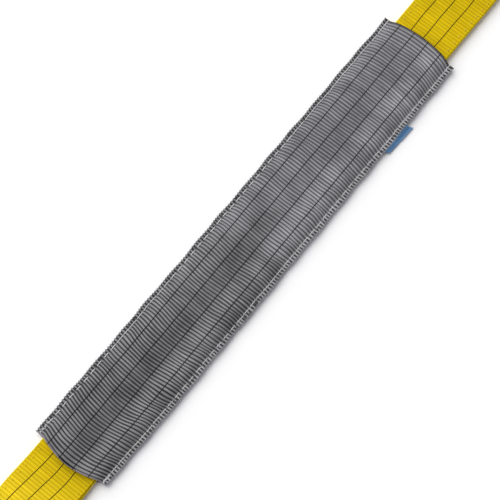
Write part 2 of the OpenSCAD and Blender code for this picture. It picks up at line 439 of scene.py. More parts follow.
def rgba(colour: object) -> object:
    """Adds an alpha of 1 to a colour, and passes a socket through."""
    return (*colour, 1.0) if isinstance(colour, (tuple, list)) and len(colour) == 3 else colour


def new_group(
    name: str, kind: str, inputs: Sequence[tuple], outputs: Sequence[tuple]
) -> tuple[Bench, Node, Node]:
    """Makes a node group with named inputs and outputs.

    Args:
        name: Name of the group.
        kind: ShaderNodeTree or GeometryNodeTree.
        inputs: For each input its name, socket type and default value.
        outputs: For each output its name and socket type.

    Returns:
        The bench on the group, its input node and its output node.
    """
    tree = bpy.data.node_groups.new(name, kind)
    for label, socket, *default in inputs:
        made = tree.interface.new_socket(name=label, in_out="INPUT", socket_type=socket)
        if default:
            made.default_value = default[0]
    for label, socket in outputs:
        tree.interface.new_socket(name=label, in_out="OUTPUT", socket_type=socket)
    bench = Bench(tree)
    return bench, bench.add("NodeGroupInput"), bench.add("NodeGroupOutput")


FLOAT = "NodeSocketFloat"
VECTOR = "NodeSocketVector"
GEOMETRY = "NodeSocketGeometry"


class ShaderKit:
    """Shader node groups that several materials share, each built once."""

    def __init__(self) -> None:
        """Starts with no group built."""
        self._made: dict[str, Tree] = {}

    def _once(self, name: str, build: Callable[[], Tree]) -> Tree:
        """Builds a group the first time it is asked for.

        Args:
            name: The group's name.
            build: What builds it.

        Returns:
            The group.
        """
        if name not in self._made:
            self._made[name] = build()
        return self._made[name]

    def weave(self) -> Tree:
        """Group that reads ribs and warp yarns off the cloth's own coordinates."""
        return self._once("weave", self._build_weave)

    def mottle(self) -> Tree:
        """Group that varies a tone slowly over the surface."""
        return self._once("mottle", self._build_mottle)

    def fibre(self) -> Tree:
        """Group that makes the fine grain of fibres."""
        return self._once("fibre", self._build_fibre)

    def _build_weave(self) -> Tree:
        """Builds the weave group.

        Returns:
            The group.
        """
        b, start, end = new_group(
            "weave",
            "ShaderNodeTree",
            [
                ("Cloth", VECTOR),
                ("Rib Pitch", FLOAT, 0.0046),
                ("Rib Sharpness", FLOAT, 0.7),
                ("Yarn Pitch", FLOAT, 0.001),
            ],
            [("Ridge", FLOAT), ("Yarn", FLOAT), ("Rib Tone", FLOAT)],
        )
        split = b.add("ShaderNodeSeparateXYZ", {0: start.outputs["Cloth"]})
        rib, ridge = b.ribs(split.outputs[0], start.outputs["Rib Pitch"], start.outputs["Rib Sharpness"])
        turn = b.math("MULTIPLY", b.math("DIVIDE", split.outputs[1], start.outputs["Yarn Pitch"]), 2 * math.pi)
        shifted = b.math("ADD", turn, b.math("MULTIPLY", rib, math.pi))
        yarn = b.math("MULTIPLY_ADD", b.math("SINE", shifted), 0.5, 0.5)
        tone = b.add("ShaderNodeTexWhiteNoise", {"W": rib}, noise_dimensions="1D").outputs["Value"]
        b.feed(end.inputs["Ridge"], ridge)
        b.feed(end.inputs["Yarn"], yarn)
        b.feed(end.inputs["Rib Tone"], tone)
        return b.tree

    def _build_mottle(self) -> Tree:
        """Builds the mottle group.

        Returns:
            The group.
        """
        b, start, end = new_group(
            "mottle",
            "ShaderNodeTree",
            [("Vector", VECTOR), ("Scale", FLOAT, 20.0), ("Low", FLOAT, 0.85), ("High", FLOAT, 1.1)],
            [("Factor", FLOAT)],
        )
        noise = b.add(
            "ShaderNodeTexNoise",
            {"Vector": start.outputs["Vector"], "Scale": start.outputs["Scale"], "Detail": 3.0, "Roughness": 0.55},
        )
        node = b.add("ShaderNodeMapRange", {0: noise.outputs["Fac"], 1: NOISE_LOW, 2: NOISE_HIGH})
        b.feed(node.inputs[3], start.outputs["Low"])
        b.feed(node.inputs[4], start.outputs["High"])
        b.feed(end.inputs["Factor"], node.outputs[0])
        return b.tree

    def _build_fibre(self) -> Tree:
        """Builds the fibre group.

        Returns:
            The group.
        """
        b, start, end = new_group(
            "fibre",
            "ShaderNodeTree",
            [("Vector", VECTOR), ("Stretch", VECTOR, (1.0, 1.0, 1.0)), ("Scale", FLOAT, 2500.0)],
            [("Grain", FLOAT)],
        )
        stretched = b.vector("MULTIPLY", start.outputs["Vector"], start.outputs["Stretch"])
        noise = b.add(
            "ShaderNodeTexNoise",
            {"Vector": stretched, "Scale": start.outputs["Scale"], "Detail": 2.0, "Roughness": 0.6},
        )
        b.feed(end.inputs["Grain"], noise.outputs["Fac"])
        return b.tree


def place(b: Bench, group: Tree, **inputs: object) -> Node:
    """Places a shader group in a material.

    Args:
        b: The bench on the material's tree.
        group: The group to place.
        **inputs: Its inputs, with underscores for spaces.

    Returns:
        The group node.
    """
    node = b.add("ShaderNodeGroup", node_tree=group)
    for key, value in inputs.items():
        b.feed(node.inputs[key.replace("_", " ")], value)
    return node


def new_material(name: str) -> tuple[Material, Bench, Node]:
    """Makes a material with a Principled BSDF.

    Args:
        name: The material's name.

    Returns:
        The material, the bench on its tree, and the shader node.
    """
    material = bpy.data.materials.new(name)
    material.use_nodes = True
    material.node_tree.nodes.clear()
    b = Bench(material.node_tree)
    shader = b.add("ShaderNodeBsdfPrincipled")
    out = b.add("ShaderNodeOutputMaterial")
    b.feed(out.inputs["Surface"], shader.outputs["BSDF"])
    return material, b, shader


def mottled(b: Bench, kit: ShaderKit, vector: object, scale: float, low: float, high: float) -> Socket:
    """Places the mottle group.

    Args:
        b: The bench on the material's tree.
        kit: The shared groups.
        vector: Where on the surface the tone is read.
        scale: Scale of its noise.
        low: The least that it gives.
        high: The most that it gives.

    Returns:
        The slowly varying value.
    """
    return place(b, kit.mottle(), Vector=vector, Scale=scale, Low=low, High=high).outputs["Factor"]


# ---------------------------------------------------------------- finishes


@dataclass(frozen=True)
class Ground:
    """What a webbing's colours are read from: places on the cloth and in space, and the weave there."""

    kit: ShaderKit
    cloth: Socket
    spot: Socket
    across: Socket
    reach: Socket
    drift: Socket
    grain: Socket
    weave: Node


@dataclass(frozen=True)
class WebbingFinish:
    """Ribbed woven webbing: a tone on the ribs, another between them, and fused cut ends, the far end's black band
    partly fused edge and partly painted shade.
    """

    name: str
    # The valley tones, darker than the ridge tones, are partly the yarn's own and partly painted shade in the grooves
    # between the ribs.
    ridge: Colour
    valley: Colour
    far_ridge: Colour
    far_valley: Colour
    rib_pitch: float
    yarn_pitch: float
    sharpness: float = 0.7
    valley_low: float = 0.35
    valley_high: float = 0.92
    tone_low: float = 0.93
    yarn_low: float = 0.88
    grain_low: float = 0.92
    grain_scale: float = 2600.0
    grain_stretch: Stretch = (0.35, 1.0, 1.0)
    mottle_low: float = 0.90
    mottle_high: float = 1.07
    mottle_scale: float = 14.0
    streak_low: float = 0.92
    streak_stretch: Stretch = (150.0, 22.0, 1.0)
    patchy: float = 0.0
    patch_scale: float = 31.0
    # Painted light: how far the -Y flank is lightened and the +Y flank darkened, against the key light's one-sided
    # shading.
    painted_flank_light: float = 0.0
    far_painted_flank_light: float = 0.0
    flank_width: float = 45.0
    hue_shift: float = 0.0
    hue_scale: float = 75.0
    hue_tint: Colour = (1.04, 0.93, 1.0)
    # Painted sheen: how much the middle is darkened against the sides, which grazing sheen would light.
    painted_sheen_middle_dark: float = 0.0
    middle_width: float = 30.0
    middle_fade: float = 0.60
    # Painted shade: broad patches lightened and darkened as slack, gently waving cloth would be shaded.
    slack_shade_low: float = 1.0
    slack_shade_high: float = 1.0
    slack_shade_scale: float = 13.0
    slack_shade_stretch: Stretch = (1.0, 0.4, 1.0)
    edge_from: float = 1e6
    edge_to: float = 1e6
    edge_light: Colour = (0.31, 0.31, 0.32)
    edge_dark: Colour = (0.034, 0.034, 0.037)
    edge_soft: float = 0.3
    loop_uneven: float = 0.22
    loop_scale: float = 120.0
    loop_tones: tuple[float, float] = (0.71, 0.97)
    rim: tuple[float, float] = (1.3, 0.5)
    drift_from: float = -300.0
    drift_to: float = 300.0
    end_at: float = 1e6
    end_width: float = 4.2
    far_end_width: float = 1.5
    end_tint: Colour = (0.3, 0.28, 0.32)
    end_cover: float = 0.7
    # Near black band at the far cut end: partly the fused edge, partly painted shade of the end's dark side.
    far_end_shadow_tint: Colour = (0.012, 0.012, 0.014)
    roughness: float = 0.78
    fused_roughness: float = 0.45
    gloss: float = 0.2
    yarn_relief: float = 0.6
    relief: tuple[float, float] = (0.5, 0.3)

    def material(self, kit: ShaderKit) -> Material:
        """Builds the webbing's material.

        Args:
            kit: The shared groups.

        Returns:
            The material.
        """
        material, b, shader = new_material(self.name)
        cloth = b.add("ShaderNodeUVMap", uv_map=CLOTH_UV).outputs["UV"]
        run = b.add("ShaderNodeSeparateXYZ", {0: cloth}).outputs[0]
        ground = self._ground(b, kit, cloth)
        colour = b.darken(self._selvedge(b, ground, self._ribs(b, ground)), self._shade(b, ground))
        warm = mottled(b, kit, ground.spot, self.hue_scale, 0.0, self.hue_shift)
        colour = b.mix_colour(warm, colour, b.mix_colour(1.0, colour, self.hue_tint, "MULTIPLY"))
        near, far = self.end_width, self.far_end_width
        fused_a = b.remap(run, (near - self.end_at) * MM, (0.5 * near - self.end_at) * MM, smooth=True)
        fused_shadow_b = b.remap(run, (self.end_at - far) * MM, (self.end_at - 0.5 * far) * MM, smooth=True)
        colour = b.mix_colour(b.math("MULTIPLY", fused_a, self.end_cover), colour, self.end_tint)
        # Painted shade: the far cut end's near black band stands partly for the fused edge and partly for the shade on
        # its dark side.
        colour = b.mix_colour(fused_shadow_b, colour, self.far_end_shadow_tint)
        fused = b.math("MAXIMUM", fused_a, fused_shadow_b)
        b.feed(shader.inputs["Base Color"], colour)
        b.feed(shader.inputs["Roughness"], b.remap(fused, 0.0, 1.0, self.roughness, self.fused_roughness))
        shader.inputs["Specular IOR Level"].default_value = self.gloss
        grain = b.math("MULTIPLY", ground.grain, 1.0 - self.yarn_relief)
        height = b.math("MULTIPLY_ADD", ground.weave.outputs["Yarn"], self.yarn_relief, grain)
        b.emboss(shader, height, *self.relief)
        return material

    def _ground(self, b: Bench, kit: ShaderKit, cloth: Socket) -> Ground:
        """Reads the places and the weave that the webbing's colours follow.

        Args:
            b: The bench on the material's tree.
            kit: The shared groups.
            cloth: The place on the flat cloth.

        Returns:
            All that was read.
        """
        spot = b.add("ShaderNodeTexCoord").outputs["Object"]
        across = b.add("ShaderNodeSeparateXYZ", {0: cloth}).outputs[1]
        x = b.add("ShaderNodeSeparateXYZ", {0: spot}).outputs[0]
        weave = place(
            b, kit.weave(), Cloth=cloth, Rib_Pitch=self.rib_pitch * MM, Rib_Sharpness=self.sharpness,
            Yarn_Pitch=self.yarn_pitch * MM,
        )
        grain = place(b, kit.fibre(), Vector=cloth, Stretch=self.grain_stretch, Scale=self.grain_scale)
        return Ground(
            kit, cloth, spot, across, reach=b.math("ABSOLUTE", across),
            drift=b.remap(x, self.drift_from * MM, self.drift_to * MM, smooth=True),
            grain=grain.outputs["Grain"], weave=weave,
        )

    def _ribs(self, b: Bench, ground: Ground) -> Socket:
        """Colours the ribs and what lies between them, where the darker tone is partly the yarn's own and partly
        painted shade in the grooves.

        Args:
            b: The bench on the material's tree.
            ground: What the colours are read from.

        Returns:
            The colour.
        """
        ridge = b.mix_colour(ground.drift, self.ridge, self.far_ridge)
        valley = b.mix_colour(ground.drift, self.valley, self.far_valley)
        patch = mottled(b, ground.kit, ground.spot, self.patch_scale, -self.patchy, self.patchy)
        relief = b.math("ADD", ground.weave.outputs["Ridge"], patch)
        return b.mix_colour(b.remap(relief, self.valley_low, self.valley_high, smooth=True), valley, ridge)

    def _selvedge(self, b: Bench, ground: Ground, colour: Socket) -> Socket:
        """Lays the looped selvedge over a colour. On the sleeve the dark between its loops is partly painted shade; on
        the web the band is painted light that lifts its shaded edges.

        Args:
            b: The bench on the material's tree.
            ground: What the colours are read from.
            colour: The colour under it.

        Returns:
            The colour.
        """
        uneven = mottled(b, ground.kit, ground.spot, self.loop_scale, -self.loop_uneven, self.loop_uneven)
        loops = b.remap(b.math("ADD", ground.weave.outputs["Ridge"], uneven), *self.loop_tones, smooth=True)
        inner, outer = ((self.edge_to - width) * MM for width in self.rim)
        rim = b.remap(ground.reach, inner, outer, smooth=True)
        selvedge = b.mix_colour(b.math("MAXIMUM", loops, rim), self.edge_dark, self.edge_light)
        soft = self.edge_soft
        on_edge = b.remap(ground.reach, (self.edge_from - soft) * MM, (self.edge_from + soft) * MM, smooth=True)
        return b.mix_colour(on_edge, colour, selvedge)

    def _shade(self, b: Bench, ground: Ground) -> Socket:
        """Multiplies all that makes the webbing lighter or darker from place to place, with painted light and shade
        among it.

        Args:
            b: The bench on the material's tree.
            ground: What the colours are read from.

        Returns:
            The factor.
        """
        kit, weave, drift = ground.kit, ground.weave, ground.drift
        fine = b.remap(ground.grain, NOISE_LOW, NOISE_HIGH, self.grain_low, 2.0 - self.grain_low)
        yarn = b.remap(weave.outputs["Yarn"], 0.0, 1.0, self.yarn_low, 2.0 - self.yarn_low)
        tone = b.remap(weave.outputs["Rib Tone"], 0.0, 1.0, self.tone_low, 2.0 - self.tone_low)
        # Random slow tone, which on the sleeve also paints the patchy shade of its gentle undulations.
        slow = mottled(b, kit, ground.spot, self.mottle_scale, self.mottle_low, self.mottle_high)
        stretched = b.vector("MULTIPLY", ground.cloth, self.streak_stretch)
        streak = mottled(b, kit, stretched, 1.0, self.streak_low, 2.0 - self.streak_low)
        # Painted light: the -Y flank, turned from the key, is lightened and the +Y flank darkened, more so towards +X.
        lean = b.remap(ground.across, -self.flank_width * MM, self.flank_width * MM, 1.0, -1.0)
        side = b.math("MULTIPLY_ADD", lean, b.math("MULTIPLY_ADD", drift, self.far_painted_flank_light, self.painted_flank_light), 1.0)
        # Painted sheen: the middle is darkened against the sides, where grazing sheen would light the cloth; the
        # darkening fades towards +X.
        middle = b.remap(ground.reach, 0.0, self.middle_width * MM, self.painted_sheen_middle_dark, 0.0, smooth=True)
        middle = b.math("MULTIPLY", middle, b.math("MULTIPLY_ADD", drift, -self.middle_fade, 1.0))
        # Painted shade: broad patches lightened and darkened as slack, gently waving cloth would be shaded.
        wide = b.vector("MULTIPLY", ground.spot, self.slack_shade_stretch)
        slack_shade = mottled(b, kit, wide, self.slack_shade_scale, self.slack_shade_low, self.slack_shade_high)
        shade = b.math("MULTIPLY", b.math("MULTIPLY", yarn, tone), b.math("MULTIPLY", slow, fine))
        for factor in (streak, side, b.math("SUBTRACT", 1.0, middle), slack_shade):
            shade = b.math("MULTIPLY", shade, factor)
        return shade


@dataclass(frozen=True)
class ThreadFinish:
    """Sewing or marker thread."""

    name: str
    colour: Colour
    dark: float = 0.75
    roughness: float = 0.6
    gloss: float = 0.3
    grain_stretch: Stretch = (0.5, 1.0, 1.0)
    grain_scale: float = 1800.0
    relief: tuple[float, float] = (0.4, 0.2)

    def material(self, kit: ShaderKit) -> Material:
        """Builds the thread's material.

        Args:
            kit: The shared groups.

        Returns:
            The material.
        """
        material, b, shader = new_material(self.name)
        spot = b.add("ShaderNodeTexCoord").outputs["Object"]
        grain = place(b, kit.fibre(), Vector=spot, Stretch=self.grain_stretch, Scale=self.grain_scale).outputs["Grain"]
        shade = b.remap(grain, NOISE_LOW, NOISE_HIGH, self.dark, 1.0)
        b.feed(shader.inputs["Base Color"], b.darken(self.colour, shade))
        shader.inputs["Roughness"].default_value = self.roughness
        shader.inputs["Specular IOR Level"].default_value = self.gloss
        b.emboss(shader, grain, *self.relief)
        return material


@dataclass(frozen=True)
class LabelFinish:
    """Blank label of coated cloth."""

    name: str
    colour: Colour
    weave_pitch: float = 0.45
    mottle: tuple[float, float] = (0.82, 1.12)
    mottle_scale: float = 60.0
    yarn: tuple[float, float] = (0.92, 1.05)
    roughness: float = 0.55
    relief: tuple[float, float] = (0.35, 0.1)

    def material(self, kit: ShaderKit) -> Material:
        """Builds the label's material.

        Args:
            kit: The shared groups.

        Returns:
            The material.
        """
        material, b, shader = new_material(self.name)
        cloth = b.add("ShaderNodeUVMap", uv_map=CLOTH_UV).outputs["UV"]
        spot = b.add("ShaderNodeTexCoord").outputs["Object"]
        weave = place(
            b, kit.weave(), Cloth=cloth, Rib_Pitch=self.weave_pitch * MM, Rib_Sharpness=1.0,
            Yarn_Pitch=2 * self.weave_pitch * MM,
        )
        slow = mottled(b, kit, spot, self.mottle_scale, *self.mottle)
        shade = b.math("MULTIPLY", slow, b.remap(weave.outputs["Yarn"], 0.0, 1.0, *self.yarn))
        b.feed(shader.inputs["Base Color"], b.darken(self.colour, shade))
        shader.inputs["Roughness"].default_value = self.roughness
        b.emboss(shader, b.math("MULTIPLY", weave.outputs["Ridge"], weave.outputs["Yarn"]), *self.relief)
        return material


@dataclass(frozen=True)
class FloorFinish:
    """White paper floor that keeps a soft shadow."""

    name: str = "floor_paper"
    albedo: Colour = (0.935, 0.93, 0.915)
    glow: Colour = (0.03, 0.03, 0.055)

    def material(self) -> Material:
        """Builds the floor's material.

        Returns:
            The material.
        """
        material = bpy.data.materials.new(self.name)
        material.use_nodes = True
        material.node_tree.nodes.clear()
        b = Bench(material.node_tree)
        diffuse = b.add("ShaderNodeBsdfDiffuse", {"Color": rgba(self.albedo)})
        glow = b.add("ShaderNodeEmission", {"Color": rgba(self.glow), "Strength": b.seen()})
        both = b.add("ShaderNodeAddShader", {0: diffuse.outputs[0], 1: glow.outputs[0]})
        out = b.add("ShaderNodeOutputMaterial")
        b.feed(out.inputs["Surface"], both.outputs[0])
        return material


# ---------------------------------------------------------------- geometry nodes


def apply_tree(piece: Piece, tree: Tree, values: dict[str, object]) -> Piece:
    """Runs a Geometry Nodes tree on an object and keeps the plain result.

    Args:
        piece: The object whose geometry goes in.
        tree: The tree.
        values: The tree's inputs, by name.

    Returns:
        The same object, with the result as its mesh.
    """
    modifier = piece.modifiers.new("build", "NODES")
    modifier.node_group = tree
    for item in tree.interface.items_tree:
        if item.item_type == "SOCKET" and item.in_out == "INPUT" and item.name in values:
            modifier[item.identifier] = values[item.name]
    bpy.context.view_layer.update()
    graph = bpy.context.evaluated_depsgraph_get()
    mesh = bpy.data.meshes.new_from_object(piece.evaluated_get(graph), depsgraph=graph)
    piece.modifiers.remove(modifier)
    old, mesh.name = piece.data, piece.data.name
    piece.data = mesh
    bpy.data.meshes.remove(old)
    return piece


@dataclass(frozen=True)
class RibRelief:
    """Sinks the cloth between its ribs, square to its surface."""

    pitch: float
    depth: float
    sharpness: float
    uneven: float = 0.15
    fused_share: float = 0.15
    fused_reach: tuple[float, float] = (2.5, 1.0)
    seed: int = 7

    def tree(self) -> Tree:
        """Builds the tree, or returns the one already built.

        Returns:
            The tree.
        """
        if "rib_relief" in bpy.data.node_groups:
            return bpy.data.node_groups["rib_relief"]
        b, start, end = new_group(
            "rib_relief",
            "GeometryNodeTree",
            [
                ("Geometry", GEOMETRY),
                ("Rib Pitch", FLOAT, 0.0046),
                ("Rib Depth", FLOAT, 0.0008),
                ("Rib Sharpness", FLOAT, 0.7),
                ("Uneven", FLOAT, 0.15),
                ("Fused End", FLOAT, 1e3),
                ("Seed", "NodeSocketInt", 7),
                ("Material", "NodeSocketMaterial"),
            ],
            [("Geometry", GEOMETRY)],
        )
        cloth = b.add("GeometryNodeInputNamedAttribute", {"Name": CLOTH_UV}, data_type="FLOAT_VECTOR").outputs[0]
        split = b.add("ShaderNodeSeparateXYZ", {0: cloth})
        rib, ridge = b.ribs(split.outputs[0], start.outputs["Rib Pitch"], start.outputs["Rib Sharpness"])
        valley = b.math("SUBTRACT", 1.0, ridge)
        random = b.add("FunctionNodeRandomValue", {"ID": rib, "Seed": start.outputs["Seed"]}, data_type="FLOAT")
        low = b.math("SUBTRACT", 1.0, start.outputs["Uneven"])
        uneven = b.math("MULTIPLY_ADD", random.outputs[1], start.outputs["Uneven"], low)
        run = b.math("ABSOLUTE", split.outputs[0])
        fused = b.add("ShaderNodeMapRange", {0: run, 3: 1.0, 4: self.fused_share})
        for n, reach in enumerate(self.fused_reach, 1):
            b.feed(fused.inputs[n], b.math("SUBTRACT", start.outputs["Fused End"], reach * MM))
        kept = b.math("MULTIPLY", start.outputs["Rib Depth"], fused.outputs[0])
        depth = b.math("MULTIPLY", b.math("MULTIPLY", valley, uneven), kept)
        normal = b.add("GeometryNodeInputNormal").outputs[0]
        offset = b.add("ShaderNodeVectorMath", {0: normal}, operation="SCALE")
        b.feed(offset.inputs["Scale"], b.math("MULTIPLY", depth, -1.0))
        moved = b.add("GeometryNodeSetPosition", {"Geometry": start.outputs["Geometry"], "Offset": offset.outputs[0]})
        real = b.add("GeometryNodeRealizeInstances", {0: moved.outputs[0]})
        dressed = b.add("GeometryNodeSetMaterial", {0: real.outputs[0], "Material": start.outputs["Material"]})
        b.feed(end.inputs["Geometry"], dressed.outputs[0])
        return b.tree

    def run(self, piece: Piece, material: Material, fused_end: float = 1e6) -> Piece:
        """Applies the relief to a piece of cloth.

        Args:
            piece: The cloth, with its own coordinates.
            material: Its material.
            fused_end: Distance from the cloth's middle to its fused cut end, in millimetres.

        Returns:
            The piece.
        """
        values = {
            "Rib Pitch": self.pitch * MM,
            "Rib Depth": self.depth * MM,
            "Rib Sharpness": self.sharpness,
            "Uneven": self.uneven,
            "Fused End": fused_end * MM,
            "Seed": self.seed,
            "Material": material,
        }
        return apply_tree(piece, self.tree(), values)


@dataclass(frozen=True)
class StitchRow:
    """Lockstitches laid along a path, each one dipping into the cloth at its ends."""

    pitch: float
    length: float
    thickness: float
    rise: float = 0.22
    dip: float = 0.5
    uneven: float = 0.12
    swing: float = 0.05
    seed: int = 11
    sides: int = 6
    arc_steps: int = 6
    swing_seed: float = 5.0

    def tree(self) -> Tree:
        """Builds the tree, or returns the one already built.

        Returns:
            The tree.
        """
        if "stitch_row" in bpy.data.node_groups:
            return bpy.data.node_groups["stitch_row"]
        b, start, end = new_group(
            "stitch_row",
            "GeometryNodeTree",
            [
                ("Geometry", GEOMETRY),
                ("Pitch", FLOAT, 0.0135),
                ("Length", FLOAT, 0.010),
                ("Thickness", FLOAT, 0.001),
                ("Rise", FLOAT, 0.0004),
                ("Dip", FLOAT, 0.0005),
                ("Uneven", FLOAT, 0.1),
                ("Swing", FLOAT, 0.05),
                ("Seed", "NodeSocketInt", 11),
                ("Material", "NodeSocketMaterial"),
            ],
            [("Geometry", GEOMETRY)],
        )
        path = b.add("GeometryNodeMeshToCurve", {0: start.outputs["Geometry"]}).outputs[0]
        points = b.add("GeometryNodeCurveToPoints", {"Curve": path, "Length": start.outputs["Pitch"]}, mode="LENGTH")
        up = b.add("GeometryNodeInputNamedAttribute", {"Name": UP_ATTRIBUTE}, data_type="FLOAT_VECTOR").outputs[0]
        along = b.add("FunctionNodeAlignRotationToVector", {"Vector": points.outputs["Tangent"]}, axis="X")
        upright = b.add(
            "FunctionNodeAlignRotationToVector", {"Rotation": along.outputs[0], "Vector": up}, axis="Z", pivot_axis="X"
        )
        half = b.math("MULTIPLY", start.outputs["Length"], 0.5)
        low = b.math("MULTIPLY", start.outputs["Dip"], -1.0)
        first = b.add("ShaderNodeCombineXYZ", {0: b.math("MULTIPLY", half, -1.0), 2: low}).outputs[0]
        last = b.add("ShaderNodeCombineXYZ", {0: half, 2: low}).outputs[0]
        top = b.add(
            "ShaderNodeCombineXYZ", {2: b.math("MULTIPLY_ADD", start.outputs["Rise"], 2.0, start.outputs["Dip"])}
        ).outputs[0]
        arc = b.add("GeometryNodeCurveQuadraticBezier", {0: self.arc_steps, 1: first, 2: top, 3: last})
        ring = b.add("GeometryNodeCurvePrimitiveCircle", {"Resolution": self.sides})
        b.feed(ring.inputs["Radius"], b.math("MULTIPLY", start.outputs["Thickness"], 0.5))
        thread = b.add(
            "GeometryNodeCurveToMesh",
            {"Curve": arc.outputs[0], "Profile Curve": ring.outputs[0], "Fill Caps": True},
        )
        stretch = b.add("FunctionNodeRandomValue", {"Seed": start.outputs["Seed"]}, data_type="FLOAT")
        b.feed(stretch.inputs[2], b.math("SUBTRACT", 1.0, start.outputs["Uneven"]))
        b.feed(stretch.inputs[3], b.math("ADD", 1.0, start.outputs["Uneven"]))
        other_seed = b.math("ADD", start.outputs["Seed"], self.swing_seed)
        swing = b.add("FunctionNodeRandomValue", {"Seed": other_seed}, data_type="FLOAT")
        b.feed(swing.inputs[2], b.math("MULTIPLY", start.outputs["Swing"], -1.0))
        b.feed(swing.inputs[3], start.outputs["Swing"])
        yaw = b.add("ShaderNodeCombineXYZ", {2: swing.outputs[1]}).outputs[0]
        turned = b.add(
            "FunctionNodeRotateRotation",
            {"Rotation": upright.outputs[0], "Rotate By": b.add("FunctionNodeEulerToRotation", {0: yaw}).outputs[0]},
            rotation_space="LOCAL",
        )
        scale = b.add("ShaderNodeCombineXYZ", {0: stretch.outputs[1], 1: 1.0, 2: 1.0}).outputs[0]
        laid = b.add(
            "GeometryNodeInstanceOnPoints",
            {
                "Points": points.outputs["Points"],
                "Instance": thread.outputs[0],
                "Rotation": turned.outputs[0],
                "Scale": scale,
            },
        )
        real = b.add("GeometryNodeRealizeInstances", {0: laid.outputs[0]})
        smooth = b.add("GeometryNodeSetShadeSmooth", {0: real.outputs[0]})
        dressed = b.add("GeometryNodeSetMaterial", {0: smooth.outputs[0], "Material": start.outputs["Material"]})
        b.feed(end.inputs["Geometry"], dressed.outputs[0])
        return b.tree

    def run(self, path: Piece, material: Material) -> Piece:
        """Turns a path into stitches.

        Args:
            path: The path, with the way out of the cloth in its up attribute.
            material: The thread's material.

        Returns:
            The stitches, under the path's name.
        """
        values = {
            "Pitch": self.pitch * MM,
            "Length": self.length * MM,
            "Thickness": self.thickness * MM,
            "Rise": self.rise * MM,
            "Dip": self.dip * MM,
            "Uneven": self.uneven,
            "Swing": self.swing,
            "Seed": self.seed,
            "Material": material,
        }
        return apply_tree(path, self.tree(), values)


# ---------------------------------------------------------------- wear sleeve


@dataclass(frozen=True)
class SeamPlan:
    """One edge's seam: where its stretches meet, how long each one's stitches are, and where it begins and ends."""

    name: str
    side: float
    joins: tuple[float, ...]
    lengths: tuple[float, ...]
    start: float
    tack_reach: float
    stop: float = 6.0
    short: float = 9.0
    thickness: float = 0.95
    short_thickness: float = 1.15


